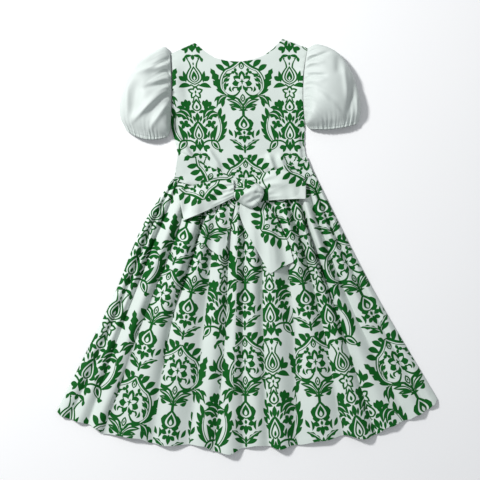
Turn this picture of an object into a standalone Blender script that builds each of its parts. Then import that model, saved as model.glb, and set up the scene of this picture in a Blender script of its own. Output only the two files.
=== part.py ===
"""A girl's party dress with puff sleeves, a gathered skirt and a sash tied in a bow, laid flat on a surface.

Sizes are millimetres. X runs across the dress, Y up its length towards the neck, Z up from the surface.
Left and right are the viewer's. Each sewn piece is a closed wall of cloth, one object for each piece.
"""

import math

import bpy
import numpy as np
from mathutils import Vector
from mathutils.bvhtree import BVHTree

MM = 0.001
CLOTH = 1.2
SEAM_GAP = 0.3
BACK_TOP = CLOTH
FRONT_BASE = BACK_TOP + SEAM_GAP + CLOTH
SKY = 200.0
SHARP_ANGLE = math.radians(50)

# The bodice: its side edges, listed from the waist up, and its upper outline from left to right.
LEFT_SIDE = {
    "y": (137, 157, 182, 209, 244, 300, 350, 398),
    "x": (-150, -147, -143, -147, -156, -154, -154, -157),
}
RIGHT_SIDE = {
    "y": (151, 175, 209, 257, 300, 356, 409),
    "x": (137, 126, 119, 119, 115.5, 116, 125),
}
NECK_AND_SHOULDERS = {
    "x": (-158, -108, -90, -67, -43, -14, 13, 36, 55, 74, 126),
    "y": (398, 420, 404, 389, 383, 381, 385, 394, 408, 428, 409),
}
WAIST = {"x": (-153, -97, -31, 30, 89, 139), "y": (139, 126, 116, 110, 128, 152)}
BACK_WAIST_POINTS = 20
BODICE_COLUMNS = 22
BODICE_ROWS = 16
BODICE_SWELL = 3.4
WAIST_RISE = 2.0
ARMHOLE_RISE = 8.0
ARMHOLE_REACH = 26.0
LEFT_ARMHOLE = (244, 398)
RIGHT_ARMHOLE = (257, 409)
BACK_SIDE_TRIM = 0.4
BACK_NECK_TRIM = 1.0
BACK_SIDE_HEIGHTS = {
    "left": (393, 350, 300, 260, 230, 209, 182, 157),
    "right": (170, 190, 209, 233, 257, 290, 330, 370, 403),
}

# Raised folds on the bodice: both ends, half width and height.
BODICE_FOLD = ("x0", "y0", "x1", "y1", "half_width", "height")
BODICE_FOLDS = (
    (-150, 240, -108, 176, 9, 5.0),
    (-128, 205, -116, 160, 8, 3.0),
    (-74, 196, -58, 150, 12, 2.5),
    (44, 190, 58, 150, 7, 4.0),
    (66, 190, 80, 148, 7, 3.5),
    (106, 240, 112, 170, 8, 3.0),
)

# The skirt: one row for each crease, then the fold to its right. The x columns follow the crease down.
CREASE = (
    "waist_x", "knee_x", "mid_x", "hem_x", "hem_y", "lean",
    "knee_rise", "mid_rise", "hem_rise", "crest_hem_y",
)
CREASES = (
    (-153, -202, -275, -394, -342, 0.45, 9, 8, 6, -352),
    (-148, -186, -256, -366, -357, 0.50, 12, 10, 8, -363),
    (-139, -173, -240, -329, -368, 0.60, 15, 12, 10, -377),
    (-116, -137, -206, -298, -388, 0.64, 20, 16, 11, -396),
    (-85, -97, -152, -196, -407, 0.42, 15, 13, 10, -412),
    (-62, -68, -86, -120, -410, 0.55, 12, 11, 9, -413),
    (-37, -38, -43, -68, -424, 0.50, 14, 13, 14, -429),
    (-8, -6, -8, -6, -417, 0.50, 14, 12, 9, -412),
    (19, 29, 33, 46, -413, 0.40, 17, 15, 14, -419),
    (50, 70, 96, 102, -411, 0.55, 20, 15, 10, -402),
    (77, 101, 150, 200, -391, 0.60, 21, 16, 12, -398),
    (99, 120, 182, 267, -389, 0.42, 16, 15, 10, -373),
    (118, 143, 209, 333, -359, 0.50, 12, 11, 8, -349),
    (132, 160, 241, 375, -337, 0.55, 8, 8, 6, -328),
    (139, 173, 257, 394, -317, 0.50, 0, 0, 0, -317),
)
DOWN_THE_SKIRT = (0.0, 0.15, 0.5, 1.0)
SKIRT_ROWS = (0, 0.025, 0.06, 0.10, 0.15, 0.21, 0.28, 0.36, 0.44, 0.53, 0.62, 0.72, 0.82, 0.91, 1.0)
SAMPLES_A_FOLD = 4
FOLD_FULLNESS = 0.8
HEM_TRIM = 1.2
SIDE_TRIM = 1.0
GATHER_RISE = 2.5
CREASE_FLOOR = 0.6

# The puff sleeves: stations from armhole to cuff, each from the underarm side to the outer side.
STATION = ("along", "inner_x", "inner_y", "outer_x", "outer_y", "height", "bow")
LEFT_SLEEVE = (
    (0.00, -157.6, 244.0, -158.6, 398, 12, 2.5),
    (0.08, -157.8, 242.5, -168, 411, 20, 0),
    (0.20, -158.1, 241.0, -196, 399, 31, 0),
    (0.35, -158.4, 239.0, -230, 374, 38, 0),
    (0.50, -158.8, 237.0, -253, 335, 40, 0),
    (0.65, -159.4, 235.0, -262, 294, 37, 0),
    (0.80, -160.2, 232.0, -261, 264, 29, -3),
    (0.92, -161.6, 229.0, -253, 247, 19, -8),
    (1.00, -163.0, 226.0, -249, 238, 15, -12),
)
RIGHT_SLEEVE = (
    (0.00, 119.6, 257.0, 125.7, 409, 12, -6.4),
    (0.08, 120.1, 256.0, 139, 416, 20, -2),
    (0.20, 120.5, 254.5, 163, 412, 31, 0),
    (0.35, 121.0, 253.0, 192, 394, 38, 0),
    (0.50, 121.7, 251.5, 215, 360, 40, 0),
    (0.65, 122.7, 250.0, 230, 318, 37, 0),
    (0.80, 124.0, 248.0, 235, 281, 29, 2),
    (0.92, 126.0, 245.0, 232, 261, 19, 4),
    (1.00, 128.5, 242.0, 229, 253, 15, 6),
)
SLEEVE_RINGS = (0, 0.035, 0.08, 0.14, 0.21, 0.30, 0.40, 0.51, 0.62, 0.73, 0.83, 0.91, 0.96, 1.0)
RING_TOP_POINTS = 32
RING_FLAT_POINTS = 7
SLEEVE_EDGE_ROUND = 4.0
ARMHOLE_GATHERS = 8
CUFF_GATHERS = 12
ARMHOLE_GATHER_HEIGHT = 3.0
CUFF_GATHER_HEIGHT = 1.8

# The sash bands and the bow's tails: ribbon edges as listed points, upper or left edge first.
SASH_LEFT = {
    "first": ((-142, 195), (-107, 181), (-72, 162), (-36, 146), (-12, 138)),
    "second": ((-149, 135), (-123, 128), (-97, 122), (-60, 114), (-12, 108)),
}
SASH_RIGHT = {
    "first": ((122, 186), (100, 176), (75, 165), (45, 152), (-8, 138)),
    "second": ((137, 149), (115, 137), (89, 124), (50, 108), (-8, 108)),
}
TAIL_LEFT = {
    "first": ((-34, 118), (-54, 99), (-72, 80), (-87, 52), (-95, 29), (-101, 11)),
    "second": ((-12, 106), (-24, 88), (-29, 66), (-34, 37), (-41, 6), (-50, -25)),
}
TAIL_RIGHT = {
    "first": ((-8, 104), (-16, 74), (-7, 42), (10, 10), (27, -21), (47, -57)),
    "second": ((24, 112), (40, 86), (60, 60), (75, 26), (87, 0), (96, -32)),
}
RIBBON_STEPS = 12
RIBBON_ACROSS = 7
RIBBON_CLEARANCE = 6.0
SASH_RIPPLE = 1.5
TAIL_RIPPLE = 2.0
BRIDGING_ROUNDS = 12

# The bow's loops: the gathered side by the knot and the folded far end, upper edge first.
LOOP = ("knot_upper", "knot_lower", "end_upper", "end_lower", "height")
LOOP_LEFT = ((-28, 136), (-26, 101), (-143, 117), (-130, 53), 15.0)
LOOP_RIGHT = ((20, 142), (32, 104), (122, 130), (119, 97), 14.0)
LOOP_UPPER_BULGE = {"bow_loop_left": 4.0, "bow_loop_right": 20.0}
LOOP_LOWER_BULGE = {"bow_loop_left": -2.0, "bow_loop_right": 5.0}
LOOP_END_HEIGHT = 9.0
LOOP_PINCH_HEIGHT = 3.6
LOOP_STEPS = 10
LOOP_ACROSS = 8
LOOP_CLEARANCE = 7.0
LOOP_BEND_POINTS = 7

# The knot: a plump band wrapped over the gathered ribbon.
KNOT_CENTRE = (4, 108)
KNOT_HALF_SIZE = (31, 28)
KNOT_TURN = math.radians(-28)
KNOT_HEIGHT = 13.0
KNOT_RINGS = 6
KNOT_SPOKES = 24
KNOT_CLEARANCE = 5.0
KNOT_EDGE_HEIGHT = 2.5
KNOT_FIRST_RING = 0.25

PRINTED_CLOTH = ((0.60, 0.72, 0.62), 0.82)
SLEEVE_SATIN = ((0.80, 0.86, 0.82), 0.55)


def clear_scene():
    for thing in list(bpy.data.objects):
        bpy.data.objects.remove(thing, do_unlink=True)


def make_material(name, look):
    colour, roughness = look
    material = bpy.data.materials.new(name)
    material.use_nodes = True
    shader = material.node_tree.nodes["Principled BSDF"]
    shader.inputs["Base Color"].default_value = (*colour, 1.0)
    shader.inputs["Roughness"].default_value = roughness
    shader.inputs["Metallic"].default_value = 0.0
    return material


def smooth(at, knots, values):
    """A smooth curve through the values at the knots, read at each place in at."""
    at = np.asarray(at, float)
    knots = np.asarray(knots, float)
    values = np.asarray(values, float)
    slopes = np.gradient(values, knots)
    i = np.clip(np.searchsorted(knots, at, side="right") - 1, 0, len(knots) - 2)
    width = knots[i + 1] - knots[i]
    t = np.clip((at - knots[i]) / width, 0.0, 1.0)
    rise = t * t * (3 - 2 * t)
    bend = slopes[i] * t * (1 - t) ** 2 - slopes[i + 1] * (1 - t) * t ** 2
    return values[i] * (1 - rise) + values[i + 1] * rise + bend * width


def ease(t):
    return 0.5 - 0.5 * np.cos(np.pi * np.clip(t, 0.0, 1.0))


def normals_of(grid):
    """Upward unit normals of a grid of points."""
    along = np.gradient(grid, axis=0)
    across = np.gradient(grid, axis=1)
    normal = np.cross(across, along)
    normal /= np.linalg.norm(normal, axis=2, keepdims=True)
    return normal * np.sign(normal[..., 2:3])


def finish_object(name, vertices, faces, material):
    mesh = bpy.data.meshes.new(name)
    mesh.from_pydata([tuple(v * MM) for v in vertices], [], faces)
    mesh.validate()
    mesh.materials.append(material)
    mesh.shade_smooth()
    mesh.set_sharp_from_angle(angle=SHARP_ANGLE)
    thing = bpy.data.objects.new(name, mesh)
    bpy.context.scene.collection.objects.link(thing)
    return thing


def quads(rows, columns, start, flip):
    faces = []
    for r in range(rows - 1):
        for c in range(columns - 1):
            a = start + r * columns + c
            b = a + 1
            d = a + columns
            e = d + 1
            faces.append((a, d, e, b) if flip else (a, b, e, d))
    return faces


def rim_faces(loop, shift, flip):
    faces = []
    for i, a in enumerate(loop):
        b = loop[(i + 1) % len(loop)]
        faces.append((b, a, a + shift, b + shift) if flip else (a, b, b + shift, a + shift))
    return faces


def grid_border(rows, columns):
    top = [c for c in range(columns)]
    right = [r * columns + columns - 1 for r in range(1, rows)]
    bottom = [(rows - 1) * columns + c for c in range(columns - 2, -1, -1)]
    left = [r * columns for r in range(rows - 2, 0, -1)]
    return top + right + bottom + left


def sheet_wall(name, top, material, under=None):
    """A closed wall whose upper skin is the grid of points, one cloth thick or down to the grid under."""
    rows, columns = top.shape[:2]
    if under is None:
        under = top - normals_of(top) * CLOTH
    vertices = np.concatenate([top.reshape(-1, 3), under.reshape(-1, 3)])
    a, b, c = top[0, 0], top[0, 1], top[1, 0]
    counter = np.cross(b - a, c - a)[2] > 0
    shift = rows * columns
    faces = quads(rows, columns, 0, not counter) + quads(rows, columns, shift, counter)
    faces += rim_faces(grid_border(rows, columns), shift, counter)
    return finish_object(name, vertices, faces, material)


def flat_wall(name, outline, material):
    """A flat panel on the surface, from its outline run counterclockwise."""
    count = len(outline)
    low = np.column_stack([outline, np.zeros(count)])
    high = np.column_stack([outline, np.full(count, BACK_TOP)])
    faces = [tuple(range(count, 2 * count)), tuple(range(count - 1, -1, -1))]
    faces += [(i, (i + 1) % count, count + (i + 1) % count, count + i) for i in range(count)]
    return finish_object(name, np.concatenate([low, high]), faces, material)


def inset(profile, distance):
    """The closed profile moved inwards by a distance, mitred at its corners."""
    before = profile - np.roll(profile, 1, axis=0)
    after = np.roll(profile, -1, axis=0) - profile
    before /= np.linalg.norm(before, axis=1, keepdims=True)
    after /= np.linalg.norm(after, axis=1, keepdims=True)
    inward = np.column_stack([-(before + after)[:, 1], (before + after)[:, 0]])
    inward /= np.linalg.norm(inward, axis=1, keepdims=True)
    side = np.column_stack([-after[:, 1], after[:, 0]])
    mitre = np.clip((inward * side).sum(axis=1), 0.5, 1.0)
    return profile + inward * (distance / mitre)[:, None]


def tube_wall(name, outer, inner, material):
    """A tube open at both ends, from its outer and inner rings of points."""
    rings, around = outer.shape[:2]
    shift = rings * around
    faces = []
    for r in range(rings - 1):
        for k in range(around):
            a = r * around + k
            b = r * around + (k + 1) % around
            faces.append((a, b, b + around, a + around))
            faces.append((shift + a, shift + a + around, shift + b + around, shift + b))
    last = (rings - 1) * around
    for k in range(around):
        n = (k + 1) % around
        faces.append((n, k, shift + k, shift + n))
        faces.append((last + k, last + n, shift + last + n, shift + last + k))
    vertices = np.concatenate([outer.reshape(-1, 3), inner.reshape(-1, 3)])
    thing = finish_object(name, vertices, faces, material)
    if signed_volume(thing.data) < 0:
        thing.data.flip_normals()
    return thing


def signed_volume(mesh):
    total = 0.0
    mesh.calc_loop_triangles()
    for triangle in mesh.loop_triangles:
        a, b, c = (mesh.vertices[v].co for v in triangle.vertices)
        total += a.dot(b.cross(c))
    return total


def side_x(side, y):
    return smooth(y, side["y"], side["x"])


def outline_y(line, x):
    """The height of a line with corners, read straight between its listed points."""
    return np.interp(x, line["x"], line["y"])


def waist_y(x):
    return smooth(x, WAIST["x"], WAIST["y"])


def fold_height(x, y, fold):
    """A soft ridge from one end to the other, dying away at both."""
    row = dict(zip(BODICE_FOLD, fold))
    ax, ay = row["x1"] - row["x0"], row["y1"] - row["y0"]
    length = math.hypot(ax, ay)
    along = ((x - row["x0"]) * ax + (y - row["y0"]) * ay) / length ** 2
    aside = ((x - row["x0"]) * ay - (y - row["y0"]) * ax) / length
    return row["height"] * np.exp(-((aside / row["half_width"]) ** 2) - (2.2 * (along - 0.5)) ** 4)


def bodice_edges(rise):
    """Left and right edge x at a share of the way from waist to shoulder."""
    left_y = LEFT_SIDE["y"][0] + rise * (LEFT_SIDE["y"][-1] - LEFT_SIDE["y"][0])
    right_y = RIGHT_SIDE["y"][0] + rise * (RIGHT_SIDE["y"][-1] - RIGHT_SIDE["y"][0])
    return (left_y, side_x(LEFT_SIDE, left_y)), (right_y, side_x(RIGHT_SIDE, right_y))


def armhole_lift(y, armhole, away):
    """How far the sleeve's cap lifts the bodice beside the armhole."""
    t = np.clip((y - armhole[0]) / (armhole[1] - armhole[0]), 0.0, 1.0)
    return ARMHOLE_RISE * np.sin(np.pi * t) ** 0.8 * np.exp(-((away / ARMHOLE_REACH) ** 2))


def bodice_front_grid():
    across = np.linspace(0, 1, BODICE_COLUMNS + 1)
    rise = np.linspace(0, 1, BODICE_ROWS + 1)
    grid = np.zeros((len(rise), len(across), 3))
    for i, v in enumerate(rise):
        (_, left), (_, right) = bodice_edges(v)
        x = left + (right - left) * across
        first_x, last_x = NECK_AND_SHOULDERS["x"][0], NECK_AND_SHOULDERS["x"][-1]
        top = outline_y(NECK_AND_SHOULDERS, first_x + across * (last_x - first_x))
        low = waist_y(x) + SEAM_GAP
        y = low + (top - low) * v
        swell = BODICE_SWELL * np.sin(np.pi * across) ** 0.7 * math.sin(math.pi * (0.12 + 0.86 * v)) ** 0.5
        z = FRONT_BASE + swell + WAIST_RISE * (1 - v) ** 6
        z = z + armhole_lift(y, LEFT_ARMHOLE, x - left) + armhole_lift(y, RIGHT_ARMHOLE, right - x)
        for fold in BODICE_FOLDS:
            z = z + fold_height(x, y, fold) * np.sin(np.pi * across) ** 0.3
        grid[i] = np.column_stack([x, y, z])
    return grid


def bodice_back_outline():
    waist_x = np.linspace(LEFT_SIDE["x"][0] + 1, RIGHT_SIDE["x"][0] - 1, BACK_WAIST_POINTS)
    waist = [(x, waist_y(x) + SEAM_GAP) for x in waist_x]
    right = [(side_x(RIGHT_SIDE, y) - BACK_SIDE_TRIM, y) for y in BACK_SIDE_HEIGHTS["right"]]
    left = [(side_x(LEFT_SIDE, y) + BACK_SIDE_TRIM, y) for y in BACK_SIDE_HEIGHTS["left"]]
    xs = NECK_AND_SHOULDERS["x"][::-1]
    ys = NECK_AND_SHOULDERS["y"][::-1]
    neck = [(x, y - BACK_NECK_TRIM) for x, y in zip(xs[1:-1], ys[1:-1])]
    return np.array(waist + right + neck + left)


def skirt_section(v):
    """x, hem y and height along one row of the skirt, from its left edge to its right."""
    rows = [dict(zip(CREASE, crease)) for crease in CREASES]
    crease_x = [
        float(smooth(v, DOWN_THE_SKIRT, (r["waist_x"], r["knee_x"], r["mid_x"], r["hem_x"]))) for r in rows
    ]
    points = []
    for j in range(len(rows) - 1):
        row = rows[j]
        rises = (GATHER_RISE, row["knee_rise"], row["mid_rise"], row["hem_rise"])
        rise = float(smooth(v, DOWN_THE_SKIRT, rises))
        for k in range(SAMPLES_A_FOLD):
            t = k / SAMPLES_A_FOLD
            up = ease(t / 0.5) if t <= 0.5 else ease((1 - t) / 0.5)
            where = t + (row["lean"] - 0.5) * 4 * t * (1 - t)
            hem_y = row["hem_y"] if t <= 0.5 else rows[j + 1]["hem_y"]
            x = crease_x[j] + (crease_x[j + 1] - crease_x[j]) * where
            y = hem_y + (row["crest_hem_y"] - hem_y) * up
            points.append((x, y, rise * up ** FOLD_FULLNESS))
    points.append((crease_x[-1], rows[-1]["hem_y"], 0.0))
    return np.array(points)


def skirt_front_grid():
    waist = skirt_section(0.0)
    top_y = waist_y(waist[:, 0]) - SEAM_GAP
    grid = []
    for v in SKIRT_ROWS:
        section = skirt_section(v)
        y = top_y + (section[:, 1] - top_y) * v
        floor = CREASE_FLOOR * np.ones(len(y))
        floor[0] = floor[-1] = 0.0
        z = FRONT_BASE + floor + section[:, 2]
        grid.append(np.column_stack([section[:, 0], y, z]))
    return np.array(grid)


def skirt_back_outline(front):
    """The front's own outline, drawn in a little and flat."""
    left = front[::-2, 0, :2] + (SIDE_TRIM, 0.0)
    hem = front[-1, 2:-2:2, :2] + (0.0, HEM_TRIM)
    right = front[::-2, -1, :2] - (SIDE_TRIM, 0.0)
    waist_x = np.linspace(front[0, -1, 0], front[0, 0, 0], BACK_WAIST_POINTS)[1:-1]
    waist = np.column_stack([waist_x, waist_y(waist_x) - SEAM_GAP])
    return np.concatenate([left[::-1], hem, right, waist])


def sleeve_profile(width, height, along):
    """One ring: domed and gathered above, flat below, run from the underarm side over the top."""
    t = np.linspace(0, 1, RING_TOP_POINTS + 1)
    c = 0.5 - 0.5 * np.cos(np.pi * t)
    dome = np.sin(np.pi * t) ** 0.85
    cap = ARMHOLE_GATHER_HEIGHT * max(0.0, 1 - along / 0.4) ** 1.4 * np.cos(2 * np.pi * ARMHOLE_GATHERS * c)
    cuff = CUFF_GATHER_HEIGHT * max(0.0, (along - 0.6) / 0.4) ** 1.4 * np.cos(2 * np.pi * CUFF_GATHERS * c)
    round_edge = min(SLEEVE_EDGE_ROUND, 0.3 * height)
    start_fade = min(1.0, along / 0.05)
    z = round_edge + (height - round_edge) * dome + (cap * start_fade + cuff) * dome
    top = np.column_stack([c * width, z])
    flat_c = np.linspace(width - round_edge, round_edge, RING_FLAT_POINTS)
    flat = np.column_stack([flat_c, np.zeros(RING_FLAT_POINTS)])
    bend_out = (width - 0.3 * round_edge, 0.3 * round_edge)
    bend_in = (0.3 * round_edge, 0.3 * round_edge)
    return np.concatenate([top, [bend_out], flat, [bend_in]])[::-1]


def sleeve_rings(table):
    columns = {name: [row[i] for row in table] for i, name in enumerate(STATION)}
    outer = []
    inner = []
    for along in SLEEVE_RINGS:
        at = {name: float(smooth(along, columns["along"], columns[name])) for name in STATION[1:]}
        start = np.array([at["inner_x"], at["inner_y"]])
        span = np.array([at["outer_x"], at["outer_y"]]) - start
        width = np.linalg.norm(span)
        direction = span / width
        aside = np.array([direction[1], -direction[0]])
        profile = sleeve_profile(width, at["height"], along)
        for ring, line in ((outer, profile), (inner, inset(profile, CLOTH))):
            share = line[:, 0] / width
            flat = start + direction * line[:, :1] + aside * (at["bow"] * 4 * share * (1 - share))[:, None]
            ring.append(np.column_stack([flat, line[:, 1]]))
    return np.array(outer), np.array(inner)


def ribbon_grid(edges, steps, across):
    """Plan points of a ribbon between two listed edges."""
    t = np.linspace(0, 1, steps + 1)
    knots = np.linspace(0, 1, len(edges["first"]))
    first = np.column_stack([smooth(t, knots, [p[i] for p in edges["first"]]) for i in (0, 1)])
    second = np.column_stack([smooth(t, knots, [p[i] for p in edges["second"]]) for i in (0, 1)])
    w = np.linspace(0, 1, across + 1)[None, :, None]
    return first[:, None, :] * (1 - w) + second[:, None, :] * w


def support_trees(pieces):
    trees = []
    for piece in pieces:
        mesh = piece.data
        points = [v.co / MM for v in mesh.vertices]
        trees.append(BVHTree.FromPolygons(points, [p.vertices for p in mesh.polygons]))
    return trees


def top_at(trees, x, y):
    highest = 0.0
    for tree in trees:
        hit = tree.ray_cast(Vector((x, y, SKY)), Vector((0, 0, -1)))[0]
        if hit is not None:
            highest = max(highest, hit.z)
    return highest


def settle(plan, pieces, reach, bridging=BRIDGING_ROUNDS):
    """Heights at which a piece rests on those beneath it, spanning their hollows as cloth does."""
    trees = support_trees(pieces)
    angles = np.linspace(0, 2 * math.pi, 9)[:-1]
    turns = [(0.0, 0.0)]
    for radius in (0.5 * reach, reach):
        turns += [(radius * math.cos(a), radius * math.sin(a)) for a in angles]
    rows, columns = plan.shape[:2]
    floor = np.zeros((rows, columns))
    for r in range(rows):
        for c in range(columns):
            x, y = plan[r, c]
            floor[r, c] = max(top_at(trees, x + dx, y + dy) for dx, dy in turns)
    height = floor.copy()
    for _ in range(bridging):
        padded = np.pad(height, 1, mode="edge")
        mean = (padded[:-2, 1:-1] + padded[2:, 1:-1] + padded[1:-1, :-2] + padded[1:-1, 2:]) / 4
        height = np.maximum(floor, mean)
    return height


def laid_ribbon(name, edges, pieces, wave, material):
    plan = ribbon_grid(edges, RIBBON_STEPS, RIBBON_ACROSS)
    height = settle(plan, pieces, RIBBON_CLEARANCE)
    t = np.linspace(0, 1, RIBBON_STEPS + 1)[:, None]
    w = np.linspace(0, 1, RIBBON_ACROSS + 1)[None, :]
    ripple = wave * np.sin(np.pi * w) * (0.6 + 0.4 * np.cos(2 * np.pi * (1.5 * t + 0.5 * w)))
    top = np.dstack([plan, height + SEAM_GAP + CLOTH + ripple])
    return sheet_wall(name, top, material)


def loop_rings(name, table, pieces):
    """The loop as a flattened tube: under layer out to the far end, round it, and back over the top."""
    loop = dict(zip(LOOP, table))
    w = np.linspace(0, 1, LOOP_ACROSS + 1)
    knot = np.array(loop["knot_upper"]) * (1 - w[:, None]) + np.array(loop["knot_lower"]) * w[:, None]
    end = np.array(loop["end_upper"]) * (1 - w[:, None]) + np.array(loop["end_lower"]) * w[:, None]
    t = np.linspace(0, 1, LOOP_STEPS + 1)
    bulge = LOOP_UPPER_BULGE[name] * (1 - w) + LOOP_LOWER_BULGE[name] * w
    plan = knot[:, None, :] * (1 - t[None, :, None]) + end[:, None, :] * t[None, :, None]
    plan[..., 1] += bulge[:, None] * (4 * t * (1 - t))[None, :]
    rest = settle(plan, pieces, LOOP_CLEARANCE) + SEAM_GAP
    outer = []
    inner = []
    for i in range(len(w)):
        steps = np.linalg.norm(np.diff(plan[i], axis=0), axis=1)
        run = np.concatenate([[0], np.cumsum(steps)])
        length = run[-1]
        middle = math.sin(math.pi * (0.15 + 0.7 * w[i]))
        swell = np.sin(np.pi * t ** 1.2) ** 0.9 * middle
        body = LOOP_PINCH_HEIGHT + (loop["height"] - LOOP_PINCH_HEIGHT) * swell
        blunt = LOOP_PINCH_HEIGHT + (LOOP_END_HEIGHT - LOOP_PINCH_HEIGHT) * ease(t / 0.6)
        height = np.maximum(body, blunt)
        below = np.column_stack([run[:-1], rest[i, :-1]])
        above = np.column_stack([run[:-1], rest[i, :-1] + height[:-1]])[::-1]
        angles = np.linspace(-math.pi / 2, math.pi / 2, LOOP_BEND_POINTS)
        radius = height[-2] / 2
        depth = length - run[-2]
        middle_z = rest[i, -2] + radius
        bend = np.column_stack([run[-2] + depth * np.cos(angles), middle_z + radius * np.sin(angles)])[1:-1]
        profile = np.concatenate([below, bend, above])
        for ring, line in ((outer, profile), (inner, inset(profile, CLOTH))):
            x = np.interp(line[:, 0], run, plan[i, :, 0])
            y = np.interp(line[:, 0], run, plan[i, :, 1])
            ring.append(np.column_stack([x, y, line[:, 1]]))
    return np.array(outer), np.array(inner)


def knot_solid(pieces, material):
    """A plump closed cushion over the ends that it binds."""
    angles = np.linspace(0, 2 * math.pi, KNOT_SPOKES + 1)[:-1]
    shares = np.linspace(KNOT_FIRST_RING, 1.0, KNOT_RINGS)
    plan = np.zeros((KNOT_RINGS, KNOT_SPOKES, 2))
    for i, share in enumerate(shares):
        square = (np.abs(np.cos(angles)) ** 3 + np.abs(np.sin(angles)) ** 3) ** (-1 / 3)
        px = share * square * np.cos(angles) * KNOT_HALF_SIZE[0]
        py = share * square * np.sin(angles) * KNOT_HALF_SIZE[1]
        plan[i, :, 0] = KNOT_CENTRE[0] + px * math.cos(KNOT_TURN) - py * math.sin(KNOT_TURN)
        plan[i, :, 1] = KNOT_CENTRE[1] + px * math.sin(KNOT_TURN) + py * math.cos(KNOT_TURN)
    rest = settle(plan, pieces, KNOT_CLEARANCE, bridging=0) + SEAM_GAP
    rest = np.maximum(rest, 0.5 * (rest + rest.max()))
    crown = rest.max() + KNOT_HEIGHT
    dome = (1 - shares ** 2.6) ** 0.6
    top = (rest + KNOT_EDGE_HEIGHT) * (1 - dome[:, None]) + crown * dome[:, None]
    middle = np.array([[*KNOT_CENTRE, crown], [*KNOT_CENTRE, rest.max()]])
    high = np.dstack([plan, top]).reshape(-1, 3)
    low = np.dstack([plan, rest]).reshape(-1, 3)
    vertices = np.concatenate([high, low, middle])
    shift = KNOT_RINGS * KNOT_SPOKES
    high_middle = 2 * shift
    low_middle = high_middle + 1
    faces = []
    for k in range(KNOT_SPOKES):
        n = (k + 1) % KNOT_SPOKES
        faces.append((high_middle, k, n))
        faces.append((low_middle, shift + n, shift + k))
        for r in range(KNOT_RINGS - 1):
            a, b = r * KNOT_SPOKES + k, r * KNOT_SPOKES + n
            c, d = a + KNOT_SPOKES, b + KNOT_SPOKES
            faces.append((a, c, d, b))
            faces.append((shift + a, shift + b, shift + d, shift + c))
        a, b = (KNOT_RINGS - 1) * KNOT_SPOKES + k, (KNOT_RINGS - 1) * KNOT_SPOKES + n
        faces.append((a, shift + a, shift + b, b))
    return finish_object("bow_knot", vertices, faces, material)


def build():
    clear_scene()
    cloth = make_material("printed_cloth", PRINTED_CLOTH)
    satin = make_material("sleeve_satin", SLEEVE_SATIN)

    skirt_grid = skirt_front_grid()
    flat_wall("skirt_back", skirt_back_outline(skirt_grid), cloth)
    flat_wall("bodice_back", bodice_back_outline(), cloth)
    skirt_front = sheet_wall("skirt_front", skirt_grid, cloth)
    bodice_front = sheet_wall("bodice_front", bodice_front_grid(), cloth)
    for name, table in (("sleeve_left", LEFT_SLEEVE), ("sleeve_right", RIGHT_SLEEVE)):
        tube_wall(name, *sleeve_rings(table), satin)

    laid = [skirt_front, bodice_front]
    laid.append(laid_ribbon("sash_left", SASH_LEFT, laid, SASH_RIPPLE, cloth))
    laid.append(laid_ribbon("sash_right", SASH_RIGHT, laid[:2], SASH_RIPPLE, cloth))
    laid.append(laid_ribbon("bow_tail_left", TAIL_LEFT, laid, TAIL_RIPPLE, cloth))
    laid.append(laid_ribbon("bow_tail_right", TAIL_RIGHT, laid, TAIL_RIPPLE, cloth))
    under_loops = list(laid)
    for name, table in (("bow_loop_left", LOOP_LEFT), ("bow_loop_right", LOOP_RIGHT)):
        laid.append(tube_wall(name, *loop_rings(name, table, under_loops), cloth))
    knot_solid(laid, cloth)


build()
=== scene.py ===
"""The looks of a party dress laid flat: printed cloth, satin sleeves, folds, bow, light and camera.

Sizes are millimetres unless a name or comment says metres. X runs across the dress, Y up its length to the
neck, Z up from the surface. Left and right are the viewer's.
"""

import math

import bpy
import numpy as np
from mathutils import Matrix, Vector
from mathutils.bvhtree import BVHTree


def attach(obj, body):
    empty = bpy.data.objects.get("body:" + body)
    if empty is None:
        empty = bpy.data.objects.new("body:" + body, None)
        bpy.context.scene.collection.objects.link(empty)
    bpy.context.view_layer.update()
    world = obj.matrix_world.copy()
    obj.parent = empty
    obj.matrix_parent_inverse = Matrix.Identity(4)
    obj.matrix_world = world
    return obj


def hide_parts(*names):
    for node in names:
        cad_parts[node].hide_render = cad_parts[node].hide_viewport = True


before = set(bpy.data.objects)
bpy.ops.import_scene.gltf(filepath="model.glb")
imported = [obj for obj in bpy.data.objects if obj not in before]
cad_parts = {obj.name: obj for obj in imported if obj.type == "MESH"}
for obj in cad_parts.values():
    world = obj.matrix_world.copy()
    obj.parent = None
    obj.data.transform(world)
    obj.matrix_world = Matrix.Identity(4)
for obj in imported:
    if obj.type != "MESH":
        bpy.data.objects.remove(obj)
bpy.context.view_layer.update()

MM = 0.001
CLOTH = 1.2
SEAM_GAP = 0.3
FRONT_BASE = CLOTH + SEAM_GAP + CLOTH
SHELL = 0.7
RIBBON_SHELL = 1.0
SKY = 200.0
SHARP_ANGLE = math.radians(60)

# Camera: straight above, at the height from which the frame is this wide.
VIEW_CENTRE = (-14.3, 12.4)
VIEW_HEIGHT = 2500.0
VIEW_WIDTH = 993.6
SENSOR = 36.0

# The light and the floor, in metres: the lamp's place, the width of its disc and its power.
LAMP_PLACE = (-1.9, 1.55, 2.1)
LAMP_SIZE = 0.5
LAMP_POWER = 95.0
WORLD_COLOUR = (0.93, 0.96, 1.0, 1)
WORLD_STRENGTH = 0.41
FLOOR_HALF = 6.0
FLOOR_DROP = 0.0004

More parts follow.
